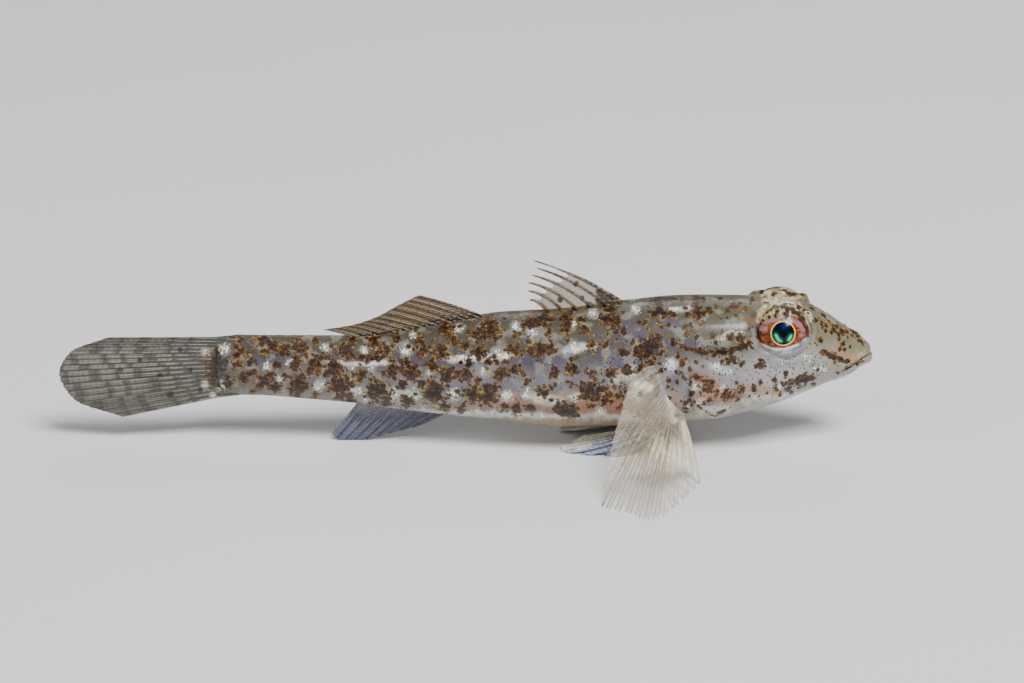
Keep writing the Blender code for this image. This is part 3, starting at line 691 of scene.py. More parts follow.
def make_flakes_group():
    """Crackled white flakes over a soft pale cloud."""
    sockets = [("Place", "Vector", None), ("Under", "Color", opaque(NO_COLOUR_YET)),
               ("Strength", "Float", 0.0)]
    group, given, out = new_group("white flakes", sockets, [("Colour", "Color"), ("Cover", "Float")])
    place = given["Place"]
    cloud = plus(group, given["Strength"], wide_noise(group, place, 1.6, 0.5, 3.0))
    colour = lay(group, given["Under"], step_between(group, cloud, 0.15, 0.95), 0.60, FLAKE_CLOUD)
    turned = {"Vector": place, "Rotation": (0.0, 0.5, 0.0), "Scale": (1.0, 1.0, 0.55)}
    bent = node(group, "Mapping", turned).outputs[0]
    flakes = times_plus(group, lobes(group, bent, 8.0, 0.02, 0.36), 1.3, given["Strength"])
    flakes = plus(group, flakes, wide_noise(group, place, 3.5, 0.9))
    cover = step_between(group, flakes, 0.36, 0.62)
    colour = lay(group, colour, cover, 0.88, ramp(group, noise(group, place, 2.2, 1.0), FLAKE_TINTS))
    group.links.new(colour, out.inputs[0])
    group.links.new(cover, out.inputs[1])
    return group


dots_group = make_dots_group()
spots_group = make_spots_group()
flakes_group = make_flakes_group()


def new_material(name, **values):
    """Material with its own shader; constant values go on the shader's sockets."""
    material = bpy.data.materials.new(name)
    material.use_nodes = True
    tree = material.node_tree
    shader = tree.nodes["Principled BSDF"]
    for key, value in values.items():
        shader.inputs[key.replace("_", " ")].default_value = value
    return material, tree, shader


def wire(tree, shader, **links):
    for key, socket in links.items():
        tree.links.new(socket, shader.inputs[key.replace("_", " ")])


def skin_ground(tree, place):
    """Grey side, dark back and warm belly, with violet and pale clouds and a fine grain."""
    station = plus(tree, mask(tree, "station"), wide_noise(tree, place, 0.35, 0.08))
    level = plus(tree, mask(tree, "level"), wide_noise(tree, place, 0.9, 0.30, 3.0))
    side = ramp(tree, station, SIDE_TONES)
    colour = blend_colour(tree, step_between(tree, level, 0.50, 0.80), side, ramp(tree, station, BACK_TONES))
    belly = ramp(tree, station, BELLY_TONES)
    colour = blend_colour(tree, step_between(tree, level, 0.34, 0.14), colour, belly)
    colour = lay(tree, colour, patches(tree, place, "violet", 0.8, 1.3, 0.05, 1.15, 2.0), 0.62, VIOLET_TONE)
    colour = lay(tree, colour, step_between(tree, noise(tree, place, 1.1), 0.50, 0.66), 0.35, CLOUD_TONE)
    grain = between(tree, noise(tree, place, 9.0, 3.0), 0.78, 1.22)
    shade = node(tree, "CombineColor", {0: grain, 1: grain, 2: grain}).outputs[0]
    return blend_colour(tree, 1.0, colour, shade, "MULTIPLY")


def skin_patches(tree, place, colour):
    """Pink and tan patches, the golden crown and a painted pearly sheen, whose cover is given too."""
    colour = lay(tree, colour, patches(tree, place, "pink", 2.2, 1.4, 0.05, 0.95), 0.80, PINK_TONE)
    colour = lay(tree, colour, patches(tree, place, "tan", 1.5, 0.8, 0.20, 0.85), 0.55, TAN_TONE)
    golden = ramp(tree, noise(tree, place, 3.0, 3.0), CROWN_TONES)
    colour = lay(tree, colour, patches(tree, place, "crown", 2.5, 0.9, 0.25, 0.80), 0.88, golden)
    # Painted pearly sheen, a pastel highlight standing in for iridescence
    pearl_sheen = patches(tree, place, "pearl_sheen", 2.2, 1.5, 0.30, 1.15, 4.0)
    painted_sheen = ramp(tree, noise(tree, place, 1.7, 1.0), PEARL_SHEEN_TONES)
    return lay(tree, colour, pearl_sheen, 0.75, painted_sheen), pearl_sheen


def scale_lines(tree, place):
    """Edges of the scale pockets, on the lattice that the relief follows."""
    first = plus(tree, mask(tree, "pocket_a"), wide_noise(tree, place, 1.1, 0.9))
    second = plus(tree, mask(tree, "pocket_b"), wide_noise(tree, place, 1.3, 0.9))
    pocket = node(tree, "CombineXYZ", {0: first, 1: second}).outputs[0]
    edge = node(tree, "TexVoronoi", {"Vector": pocket, "Scale": 1.0, "Randomness": 0.12},
                feature="DISTANCE_TO_EDGE", voronoi_dimensions="2D").outputs["Distance"]
    return times(tree, step_between(tree, edge, 0.055, 0.0), mask(tree, "scaled"))


def skin_material():
    """Translucent grey skin with brown spots, white flakes, pink, a painted pearly sheen, painted shade in
    the creases and scale pockets.
    """
    material, tree, shader = new_material(
        "goby skin", Subsurface_Weight=0.10, Subsurface_Scale=0.0003, Subsurface_Radius=(1.0, 0.6, 0.4),
        Coat_Weight=0.36, Coat_Roughness=0.15, Specular_IOR_Level=0.2)
    place = in_millimetres(tree)
    colour, pearl_sheen = skin_patches(tree, place, skin_ground(tree, place))
    line = scale_lines(tree, place)
    broken = times(tree, line, step_between(tree, noise(tree, place, 1.4, 3.0), 0.52, 0.68))
    colour = lay(tree, colour, broken, 0.45, SCALE_LINE)
    flakes = placed(tree, flakes_group, Place=place, Under=colour, Strength=mask(tree, "pale"))
    spots = placed(tree, spots_group, Place=place, Under=flakes["Colour"], Strength=mask(tree, "brown"),
                   Strays=mask(tree, "strays"), Dark=mask(tree, "dark"))
    specks = placed(tree, dots_group, Place=place, Scale=5.4, Size=0.25, Share=mask(tree, "specks"))
    colour = lay(tree, spots["Colour"], specks["Dots"], 0.9, SPECK)
    colour = lay(tree, colour, patches(tree, place, "orange", 4.0, 0.7, 0.35, 0.85), 0.45, ORANGE_TONE)
    # Painted shade in the mouth cleft, the nostrils, in front of the eye and along the gill cover's edge
    colour = lay(tree, colour, mask(tree, "painted_crease_shade"), 0.62, CREASE_SHADE_TONE)
    rough = plus(tree, 0.46, wide_noise(tree, place, 5.0, 0.3))
    rough = times_plus(tree, largest(tree, flakes["Cover"], pearl_sheen), -0.14, rough)
    height = times_plus(tree, line, -0.8, noise(tree, place, 9.0, 3.0))
    height = times_plus(tree, noise(tree, place, 26.0), 0.5, height)
    wire(tree, shader, Base_Color=colour, Roughness=rough, Normal=relief(tree, 0.45, 0.00003, height))
    return material


def iris_colour(tree, place, front, up, ring):
    """Red-brown fibres round the pupil, with rosy patches."""
    fibres = node(tree, "CombineXYZ", {0: sums(tree, "ARCTAN2", up, front), 1: times(tree, ring, 0.5)})
    streak = times_plus(tree, noise(tree, place, 3.0, 3.0), 0.6, noise(tree, fibres.outputs[0], 7.0, 4.0))
    iris = ramp(tree, times(tree, streak, 0.62), IRIS_TONES)
    rosy = blend_colour(tree, noise(tree, place, 5.0, 3.0), *ROSY_TONES)
    return blend_colour(tree, patches(tree, place, "pink", 4.0, 1.3, 0.15, 0.95), iris, rosy)


def lens_colour(tree):
    """Dark lens with painted reflections of the lights: a blue one at the top and green glints."""
    painted_glint = mask(tree, "painted_glint")
    lens = blend_colour(tree, mask(tree, "painted_blue_reflection"), LENS_DARK, LENS_BLUE_REFLECTION)
    lens = blend_colour(tree, painted_glint, lens, LENS_GREEN_REFLECTION)
    return blend_colour(tree, step_between(tree, painted_glint, 0.72, 1.0), lens, LENS_GLINT_HIGHLIGHT)


def eye_material():
    """Eye under a clear wet cornea: dark pupil with painted reflections, gold ring, red-brown iris, silver
    and spotted skin.
    """
    material, tree, shader = new_material(
        "eye", Coat_Weight=0.2, Coat_Roughness=0.03, Specular_IOR_Level=0.15, Coat_IOR=1.35)
    place = in_millimetres(tree)
    front = mask(tree, "gaze_front")
    up = mask(tree, "gaze_up")
    ring = sums(tree, "SQRT", plus(tree, times(tree, front, front), times(tree, up, up)))
    colour = iris_colour(tree, place, front, up, ring)
    silver = ramp(tree, noise(tree, place, 2.6, 4.0), SILVER_TONES)
    colour = blend_colour(tree, mask(tree, "silver"), colour, silver)
    fold = blend_colour(tree, noise(tree, place, 3.0, 3.0), *FOLD_TONES)
    colour = blend_colour(tree, mask(tree, "fold"), colour, fold)
    colour = blend_colour(tree, mask(tree, "white_line"), colour, WHITE_LINE)
    cover = ramp(tree, noise(tree, place, 3.0, 3.0), LID_TONES)
    spots = placed(tree, spots_group, Place=place, Under=cover, Strength=mask(tree, "brown"),
                   Strays=0.75, Dark=mask(tree, "dark"))
    lid = patches(tree, place, "lid", 4.0, 0.7, 0.35, 0.65)
    colour = blend_colour(tree, lid, colour, spots["Colour"])
    colour = lay(tree, colour, mask(tree, "orange"), 0.8, EYE_ORANGE)
    colour = lay(tree, colour, patches(tree, place, "dark_rim", 4.0, 0.5, 0.35, 0.75), 0.88, EYE_RIM_TONE)
    gold = step_between(tree, ring, PUPIL_RADIUS + GOLD_RING, PUPIL_RADIUS + GOLD_RING * 0.75)
    colour = blend_colour(tree, gold, colour, PUPIL_GOLD)
    pupil = step_between(tree, ring, PUPIL_RADIUS + PUPIL_SOFTNESS, PUPIL_RADIUS)
    colour = blend_colour(tree, pupil, colour, lens_colour(tree))
    wire(tree, shader, Base_Color=colour, Roughness=times_plus(tree, lid, 0.25, 0.16))
    return material


def brighter(colour, factor):
    """A colour made brighter, with no channel past 1."""
    return tuple(min(1.0, part * factor) for part in colour)


def fin_material(name, web, ray, mark, web_alpha, beads=0.5, root=None, web_mark=0.85, ray_veil=0.15,
                 ray_alpha=0.9):
    """Clear fin skin with jointed rays, brown marks and milky patches."""
    material, tree, shader = new_material(
        name, Coat_Weight=0.3, Coat_Roughness=0.2, Specular_IOR_Level=0.4, Subsurface_Weight=0.1,
        Subsurface_Scale=0.0003, Roughness=0.4)
    place = in_millimetres(tree)
    rays = mask(tree, "ray")
    joints = sums(tree, "SINE", times(tree, mask(tree, "reach"), JOINT_PACE))
    beaded = step_between(tree, plus(tree, joints, wide_noise(tree, place, 3.0, 1.6)), -0.1, 0.7)
    ray_colour = lay(tree, ray, beaded, beads, brighter(ray, 2.0))
    cloud = step_between(tree, noise(tree, place, 2.0, 3.0), 0.4, 0.65)
    colour = blend_colour(tree, rays, blend_colour(tree, cloud, web, brighter(web, 1.6)), ray_colour)
    if root:
        colour = blend_colour(tree, mask(tree, "flesh"), colour, root)
    milky = patches(tree, place, "milk", 1.6, 0.7, 0.10, 1.10)
    veil = times(tree, milky, times_plus(tree, rays, ray_veil - 0.85, 0.85))
    colour = blend_colour(tree, veil, colour, FIN_MILK)
    marked = patches(tree, place, "brown", 4.0, 0.7, 0.35, 0.70)
    marked = times(tree, marked, times_plus(tree, rays, 1 - web_mark, web_mark))
    marked = largest(tree, marked, mask(tree, "dash"))
    colour = lay(tree, colour, marked, 0.85, mark)
    dark = mask(tree, "dark")
    spots = placed(tree, spots_group, Place=place, Under=colour, Dark=dark, Strength=dark)
    colour = blend_colour(tree, step_between(tree, dark, 0.1, 0.3), colour, spots["Colour"])
    cells = placed(tree, dots_group, Place=place, Scale=6.0, Size=0.22, Share=0.22)
    colour = lay(tree, colour, cells["Dots"], 0.6, FIN_SPECK)
    solid = largest(tree, times(tree, rays, ray_alpha), times(tree, marked, 0.85), times(tree, milky, 0.7),
                    mask(tree, "flesh"))
    alpha = between(tree, solid, web_alpha, 1.0)
    wire(tree, shader, Base_Color=colour, Alpha=alpha, Normal=relief(tree, 0.5, 0.00002, joints))
    return material


# Meshes

def piece_from(work, name, points, values, material):
    """Object from a bmesh whose vertices are put at points, with its attributes and material."""
    mesh = bpy.data.meshes.new(name)
    work.to_mesh(mesh)
    work.free()
    mesh.vertices.foreach_set("co", world(points).ravel())
    for key, numbers in values.items():
        made = mesh.attributes.new(key, "FLOAT", "POINT")
        made.data.foreach_set("value", np.ascontiguousarray(numbers, dtype=np.float32))
    sewn = bmesh.new()
    sewn.from_mesh(mesh)
    bmesh.ops.remove_doubles(sewn, verts=sewn.verts, dist=SEAM)
    bmesh.ops.recalc_face_normals(sewn, faces=sewn.faces)
    sewn.to_mesh(mesh)
    sewn.free()
    mesh.shade_smooth()
    mesh.materials.append(material)
    piece = bpy.data.objects.new(name, mesh)
    bpy.context.scene.collection.objects.link(piece)
    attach(piece, "root")
    return piece


def grid_of(across, along):
    """Flat grid and the places of its vertices from 0 to 1 both ways."""
    work = bmesh.new()
    bmesh.ops.create_grid(work, x_segments=across, y_segments=along, size=0.5)
    flat = np.array([vert.co[:2] for vert in work.verts]) + 0.5
    return work, np.clip(flat[:, 0], 0.0, 1.0), np.clip(flat[:, 1], 0.0, 1.0)


# Markings, placed in the photograph's pixels: spots (x, y, radius), streaks (x, y, x, y, radius)
HEAD_BROWN = [
    (816, 320, 2.8), (808, 313, 1.6), (820, 340, 2.6), (815, 343, 1.3), (843, 344, 2.6), (850, 347, 1.6),
    (840, 349, 1.8), (823, 352, 834, 357, 3.2), (834, 357, 848, 361, 2.6), (857, 364, 862, 360, 1.8),
    (800, 380, 810, 378, 4.5), (786, 373, 2.4), (775, 381, 3), (776, 389, 2.8), (762, 363, 4.6),
    (756, 366, 2), (760, 382, 2.6), (754, 388, 3), (749, 397, 1.8), (759, 396, 1.6), (767, 393, 1.4),
    (780, 395, 2.2), (791, 392, 2), (814, 384, 2.2), (838, 373, 1.6), (800, 376, 2.4), (741, 338, 4.6),
    (748, 342, 4), (749, 344, 755, 350, 1.0), (748, 329, 2.2), (684, 362, 4.6), (690, 369, 3.4),
    (696, 362, 2.6), (731, 360, 4.6), (722, 362, 3), (742, 364, 3.6), (709, 384, 5), (697, 377, 2.6),
    (727, 395, 6), (718, 391, 2.6), (742, 389, 2.6), (736, 400, 3.2), (704, 403, 2.4),
    (718, 413, 724, 411, 2), (710, 413, 1.4), (693, 393, 2.6), (700, 393, 1.4), (691, 382, 1.8),
    (669, 399, 2.4),
]
FAINT_BROWN = [
    (825, 325, 843, 333, 6.5), (829, 331, 838, 336, 5), (852, 330, 862, 341, 4.5),
    (784, 385, 800, 381, 7), (846, 368, 855, 361, 2.0), (690, 380, 689, 391, 1.6),
    (689, 391, 697, 405, 1.4), (697, 405, 706, 412, 1.3), (706, 412, 716, 416, 1.3),
    (736, 382, 741, 395, 2), (681, 411, 690, 402, 6.5), (676, 372, 683, 374, 2.2),
    (668, 376, 668, 388, 2.0), (668, 388, 675, 391, 2.0), (683, 374, 686, 384, 2.2), (642, 362, 8),
    (621, 408, 6), (637, 414, 6), (654, 358, 7), (700, 382, 712, 392, 8), (747, 330, 730, 334, 4),
    (620, 392, 9),
]
BACK_BROWN = [
    (651, 300, 675, 299, 1.8), (658, 297, 660, 313, 5), (652, 313.5, 674, 314.5, 3.6),
    (697, 295, 697, 315, 4.4), (687, 315.5, 704, 313, 3), (682, 300, 2.2), (704, 300, 2.6),
    (709, 309, 2.8), (716, 306, 2.6), (711, 312, 2.2), (720, 318, 2.8), (731, 305.5, 738, 305.5, 3),
    (727, 310, 2.6), (744, 310, 3.2), (751, 303, 2), (721, 298, 2.6), (662, 327, 2.8), (659, 323, 2.4),
    (675, 327, 1.8), (684, 328, 2.8), (691, 325, 3.6), (692, 330, 2.6), (703, 324, 3.4), (686, 334, 2.6),
    (697, 337, 2.8), (712, 335, 3.6), (716, 342, 1.8), (722, 331, 2.6), (730, 337, 3.4), (727, 318, 2.6),
    (736, 316, 2.4), (673, 341, 4), (679, 345, 3.4), (676, 343, 682, 347, 2), (682, 347, 698, 351, 2.4),
    (698, 351, 711, 353.5, 2.8), (711, 353.5, 727, 351, 3), (727, 351, 744, 347, 2.6),
    (744, 347, 750, 342, 2.4), (624, 331, 5), (644, 323, 3), (633, 342, 2.6), (623, 352, 4.6),
    (661, 353, 3.4), (641, 352, 655, 340, 8), (651, 362, 3.6), (679, 355, 3), (635, 300, 3.5),
    (602, 299, 612, 312, 5.5), (606, 318, 617, 322, 6.5), (568, 306, 566, 328, 6),
    (527, 322, 548, 319, 7), (583, 329, 5.5), (549, 332, 4), (582, 319, 3.6), (607, 333, 3),
    (591, 347, 6), (606, 345, 4.6), (535, 350, 548, 349, 7), (627, 371, 6), (640, 371, 4.4),
    (610, 373, 6.5), (592, 373, 5), (554, 372, 6), (571, 369, 6), (527, 382, 4), (543, 392, 6.5),
    (593, 392, 13), (607, 398, 6), (561, 408, 573, 413, 7), (531, 408, 5), (556, 384, 2.6), (571, 384, 3),
]
SIDE_BROWN = [
    (240, 339, 4), (262, 341, 272, 345, 6), (296, 345, 7), (304, 347, 6), (283, 351, 6), (243, 352, 4),
    (237, 355, 4), (266, 352, 5), (315, 342, 4), (328, 357, 4), (315, 358, 4), (345, 350, 8),
    (353, 340, 5), (374, 341, 6), (384, 349, 7), (396, 339, 5), (362, 358, 4), (370, 359, 4),
    (378, 359, 3.4), (392, 360, 4), (405, 362, 5), (423, 352, 6.5), (441, 352, 8), (453, 340, 6),
    (445, 329, 6), (464, 346, 4.4), (477, 334, 7), (491, 330, 9), (490, 321, 6), (479, 352, 7),
    (514, 351, 7), (488, 362, 4), (497, 362, 3.4), (505, 363, 3.4), (468, 364, 4), (461, 363, 3.4),
    (431, 366, 5), (446, 374, 8.5), (465, 375, 7), (410, 372, 9), (392, 371, 8.5), (403, 383, 5),
    (362, 376, 6), (354, 375, 4), (347, 380, 4), (315, 366, 8), (334, 368, 8), (326, 376, 4),
    (296, 364, 6.5), (277, 366, 5), (272, 375, 5.5), (299, 384, 10), (285, 376, 5), (294, 391, 6),
    (264, 381, 6.5), (243, 377, 6.5), (253, 373, 5), (238, 365, 5), (251, 363, 5), (275, 388, 5.5),
    (260, 387, 4), (315, 395, 4), (341, 385, 11.5), (339, 396, 5), (351, 400, 4), (379, 392, 12.5),
    (388, 402, 5), (407, 402, 7), (435, 392, 12.5), (445, 407, 6), (462, 409, 5), (471, 394, 8),
    (488, 394, 11.5), (516, 409, 6), (516, 370, 6), (501, 375, 6.5), (479, 380, 4.4), (422, 385, 4),
    (228, 384, 5), (252, 392, 4), (505, 407, 5), (515, 336, 4), (420, 341, 4),
]
DARK = [
    (643, 341, 656, 352, 6.5), (640, 338, 4), (652, 345, 7), (657, 302, 662, 312, 3.5),
    (696, 303, 700, 314, 3), (219, 362, 219, 378, 11), (218, 352, 5), (789, 384, 806, 379, 3.2),
    (834, 330, 3.5), (598, 391, 5), (448, 373, 3), (410, 373, 4), (392, 372, 3), (334, 368, 4),
    (436, 394, 5), (381, 391, 4), (728, 398, 3.5), (487, 393, 2.5), (519, 371, 2.5), (465, 373, 2.5),
    (246, 373, 3),
]
PALE = [
    (780, 364, 3.4), (807, 358, 4.6), (815, 368, 2.6), (823, 369, 3.4), (693, 387, 4), (722, 387, 4.2),
    (701, 387, 2.5), (224, 350, 6.5), (326, 348, 5), (364, 350, 4.4), (407, 350, 6), (413, 335, 4),
    (459, 328, 5), (516, 326, 5), (371, 364, 381, 362, 3), (352, 368, 3), (371, 369, 3), (429, 373, 3.6),
    (484, 372, 4.4), (458, 358, 507, 356, 3.6), (497, 351, 3.6), (320, 385, 5.5), (360, 391, 6.5),
    (396, 394, 7.5), (415, 394, 7), (454, 394, 6.5), (508, 396, 6), (268, 367, 5), (290, 362, 4),
    (281, 379, 4), (222, 386, 6), (477, 411, 4), (494, 413, 4), (424, 409, 4), (366, 401, 3.4),
    (593, 313, 5), (635, 309, 5), (573, 324, 3.4), (531, 331, 5), (575, 347, 6.5),
    (671, 309, 686, 308, 2.0), (671, 364, 6), (637, 395, 6), (600, 413, 6), (542, 415, 5), (527, 394, 6),
    (645, 384, 6), (573, 398, 5), (688, 408, 3), (741, 330, 3.4), (716, 366, 4), (730, 372, 3),
]
PINK = [
    (698, 377, 720, 388, 7), (712, 384, 728, 396, 6), (730, 392, 740, 396, 4), (752, 320, 3),
    (590, 408, 9), (610, 400, 8), (548, 410, 7), (635, 392, 6), (620, 408, 7),
]
ORANGE = [
    (727, 325, 2), (740, 319.5, 752, 320, 1.2), (730, 309, 748, 309, 1.2), (822, 353, 825, 355, 2),
    (811, 348, 1), (815, 351, 1), (752, 320, 2.4), (756, 303, 3),
]
VIOLET = [
    (676, 382, 7.5), (664, 324, 678, 326, 6), (622, 330, 640, 336, 9), (606, 362, 640, 366, 7),
    (660, 345, 700, 346, 5), (440, 360, 560, 362, 7), (330, 360, 440, 362, 6), (250, 360, 330, 360, 6),
    (712, 403, 5), (600, 350, 640, 356, 8),
]
# Painted pearly sheen and highlights on the cheek, the gill cover and along the lower flank
PEARL_SHEEN_MARKS = [
    (752, 399, 788, 396, 3.6), (788, 396, 820, 388, 2.4), (700, 411, 728, 409, 4.5),
    (640, 418, 560, 416, 3.5), (560, 416, 440, 413, 3.5), (440, 413, 330, 404, 3.0),
    (330, 404, 240, 396, 2.4), (330, 362, 345, 362, 2), (860, 372, 840, 378, 2), (693, 388, 5),
    (700, 405, 7), (712, 414, 5), (745, 402, 5), (766, 399, 4), (672, 366, 6), (636, 394, 8),
    (660, 398, 5), (780, 386, 4), (452, 360, 508, 356, 4), (340, 364, 385, 363, 3),
    (568, 349, 592, 347, 5), (612, 378, 632, 372, 7), (535, 398, 560, 402, 7), (400, 393, 416, 396, 5),
    (355, 391, 5), (454, 395, 5), (507, 397, 5), (318, 386, 5), (671, 310, 690, 308, 3), (573, 322, 4),
    (738, 330, 720, 338, 3), (712, 366, 728, 372, 4), (600, 414, 8), (578, 396, 5),
]
# Painted shade along the creases in front of the eye and at the gill cover's edge
CREASE_SHADE_MARKS = [
    (749, 345, 756, 351, 0.9), (690, 372, 688, 392, 0.9), (688, 392, 698, 408, 0.9),
    (698, 408, 716, 417, 0.9),
]
SPECKLED = [
    (766, 372, 812, 368, 9), (784, 386, 800, 380, 12), (730, 396, 14), (642, 354, 16), (600, 388, 18),
    (704, 346, 740, 352, 8),
]
TAN = [
    (480, 398, 560, 402, 8), (560, 405, 640, 404, 12), (610, 400, 14), (660, 402, 675, 400, 5),
    (700, 396, 730, 396, 6), (740, 386, 780, 392, 4), (830, 352, 860, 360, 5),
]

# The eye, in the same pixels: edges of its spotted upper skin and of the silver below, its middle
# and half widths, then its marks
EYE_LID_EDGE = [
    (754, 324), (760, 323), (767, 320.5), (776, 318.5), (784, 317.5), (790, 315.5), (797, 317),
    (803, 322), (808, 330),
]
EYE_LOW_EDGE = [
    (754, 336), (758, 340), (765, 346), (773, 349), (782, 349.5), (790, 347.5), (798, 343.5), (804, 339),
    (810, 334),
]
EYE_DISC = (783.0, 330.5, 26.6, 24.8)
EYE_WHITE = [(761, 344, 773, 349, 0.6), (773, 349, 784, 349.3, 1.0), (784, 349.3, 798, 344.6, 0.8)]
EYE_PINK = [
    (766, 322, 774, 320, 2.2), (774, 320, 784, 319, 1.8), (791, 319, 798, 324, 2.6),
    (798, 324, 803, 330, 2.4), (763, 329, 3.6), (801, 335, 2.8),
]
EYE_BROWN = [
    (770.5, 309, 2.8), (777.5, 311, 2.6), (769.5, 317, 2.4), (775, 316, 2.0), (758.5, 322.5, 2.6),
    (762, 316, 2.0), (794, 312, 799, 314, 2.0), (803, 318, 2.0), (787, 309, 2.0), (766, 311, 2.2),
    (785, 314, 2.0), (757.5, 329.5, 1.8), (782, 307, 2.0), (763, 320, 1.8), (793, 309, 2.0),
]
EYE_DARK = [(787.5, 312, 786, 319, 2.2), (770.5, 309, 1.4), (777.5, 311, 1.2)]
EYE_RIM = [
    (771, 307.5, 781, 306, 1.4), (781, 306, 790, 308.5, 1.7), (790, 308.5, 797, 313, 1.9),
    (797, 313, 803, 320, 2.1), (803, 320, 806.5, 328, 2.2), (806.5, 328, 808, 336, 1.8),
    (787.5, 311, 786.5, 320, 2.0), (758, 323, 757.5, 334, 1.0), (757.5, 334, 762, 342, 1.0),
]

# The lens: painted reflections of the lights, green glints and a blue patch, in pupil radii forward and up
# from its middle
EYE_GLINT_REFLECTIONS = [
    (-0.66, -0.16, -0.38, -0.62, 0.15), (-0.38, -0.62, -0.18, -0.70, 0.11),
    (0.70, -0.22, 0.50, -0.58, 0.15),
]
EYE_BLUE_REFLECTION = [(0.08, 0.62, 0.24)]

# Top of the head: marks placed by distance from the snout and from the mid line, in millimetres
TOP_BROWN = [
    (5.45, 1.40, 0.20), (5.25, 0.95, 0.22), (5.65, 1.15, 0.16), (6.4, 1.3, 0.15), (6.2, 0.8, 0.14),
    (4.9, 1.2, 0.20), (4.7, 0.6, 0.18), (5.9, 0.4, 0.14), (6.8, 0.5, 0.18), (6.9, 1.2, 0.15),
    (4.5, 1.4, 0.18), (5.1, 2.2, 0.16), (5.6, 2.0, 0.14), (6.1, 1.9, 0.16), (6.6, 2.1, 0.14),
    (7.6, 0.3, 0.2), (8.4, 0.7, 0.2), (9.5, 0.2, 0.2), (3.9, 0.3, 0.2), (3.2, 0.5, 0.2),
]
TOP_DARK = [(5.5, 1.95, 4.5, 1.75, 0.16), (5.25, 1.7, 0.14), (5.45, 1.40, 0.14)]
TOP_PALE = [(5.1, 0.3, 6.4, 0.3, 0.16)]
TOP_ORANGE = [(6.75, 0.75, 0.22), (4.45, 0.75, 0.25), (5.25, 1.2, 0.16)]

# How deep the roots of the pectoral fins lie under the skin
ROOT_SINK = 0.7

# Fins on the mid line: share across the fin, distance from the snout, height over the axis
FIRST_DORSAL_SPINES = 6
SECOND_DORSAL_RAYS = 10
ANAL_RAYS = 9
CAUDAL_RAYS = 17
FIRST_DORSAL_BASE = [(0.0, 14.9, 3.6), (1.0, 19.8, 3.0)]
FIRST_DORSAL_TIPS = [(0.0, 21.1, 6.95), (0.2, 20.9, 6.45), (0.4, 21.2, 6.0), (0.6, 21.4, 5.5),
                     (0.8, 21.4, 4.95), (1.0, 21.3, 4.35)]
SECOND_DORSAL_BASE = [(0.0, 23.3, 2.8), (0.5, 27.3, 2.1), (1.0, 31.0, 1.4)]
SECOND_DORSAL_TIPS = [(0.0, 28.3, 4.62), (0.2, 29.3, 4.1), (0.5, 30.8, 3.25), (0.8, 32.4, 2.7),
                      (1.0, 33.9, 2.45)]
ANAL_BASE = [(0.0, 25.9, -2.6), (0.5, 28.6, -2.2), (1.0, 31.4, -1.8)]
ANAL_TIPS = [(0.0, 28.4, -4.0), (0.3, 30.2, -4.5), (0.6, 31.9, -4.98), (0.85, 33.2, -5.07),
             (1.0, 33.6, -4.6)]
CAUDAL_BASE = [(0.0, 39.2, 1.88), (0.5, 39.6, 0.1), (1.0, 39.2, -1.72)]
CAUDAL_TIPS = [(0.0, 47.6, 1.85), (0.25, 49.8, 0.95), (0.5, TOTAL_LENGTH, -0.55), (0.75, 49.7, -2.3),
               (1.0, 47.0, -3.35)]

# Pectoral fin: share, distance, side and height of each ray's tip, then its root on the skin
PECTORAL_RAYS = 17
PECTORAL_TIPS = [(0.0, 15.4, 5.0, 0.5), (0.12, 16.1, 6.8, -1.1), (0.25, 16.8, 8.9, -3.2),
                 (0.37, 17.05, 10.3, -4.85), (0.46, 16.5, 10.8, -4.85), (0.57, 15.4, 11.3, -4.85),
                 (0.68, 14.5, 12.3, -4.85), (0.78, 13.6, 12.0, -4.85), (0.87, 12.7, 10.4, -4.85),
                 (0.94, 11.9, 8.9, -4.85), (1.0, 11.15, 7.3, -4.85)]
PECTORAL_ROOT_DISTANCE = [(0.0, 13.3), (1.0, 12.0)]
PECTORAL_ROOT_ANGLE = [(0.0, 82.0), (1.0, 136.0)]
PECTORAL_BEND = 1.0

# Pelvic fin: share from the inner ray out, distance, side and height of each ray's tip and root
PELVIC_RAYS = 6
PELVIC_TIPS = [(0.0, 18.3, 0.75, -4.5), (0.2, 19.4, 1.4, -4.86), (0.5, 19.2, 2.0, -4.86),
               (0.8, 17.8, 2.5, -4.86), (1.0, 16.2, 2.7, -4.86)]
PELVIC_ROOTS = [(0.0, 13.2, 0.65, -3.3), (1.0, 12.3, 1.5, -3.1)]
PELVIC_DROP = 0.85

# Marks on the fins, in the photograph's pixels
FIRST_DORSAL_MARKS = [
    (600, 292, 4), (576, 284, 3), (560, 300, 3), (590, 306, 4), (620, 298, 5), (612, 305, 4),
    (556, 276, 3), (582, 298, 2.5), (574, 309, 3), (628, 303, 4), (602, 300, 612, 311, 6.5),
    (612, 296, 5), (596, 286, 585, 278, 2), (633, 306, 3),
]
FIRST_DORSAL_MILK = [(545, 264, 590, 275, 3)]
SECOND_DORSAL_MARKS = [
    (360, 335, 400, 332, 1.6), (412, 330, 438, 326, 1.8), (448, 320, 462, 318, 1.6),
    (470, 316, 486, 314, 1.5), (495, 310, 503, 311, 1.6), (455, 326, 468, 325, 1.5),
    (430, 322, 440, 320, 1.2), (380, 325, 392, 322, 1.2),
]
PECTORAL_MARKS = [
    (657, 388, 653, 402, 3.2), (653, 402, 646, 420, 2.2), (646, 420, 638, 440, 1.4),
    (668, 430, 667, 448, 3.0), (661, 440, 658, 450, 1.4), (676, 416, 2.6), (678, 424, 677, 434, 1.6),
    (660, 372, 650, 376, 1.4),
]
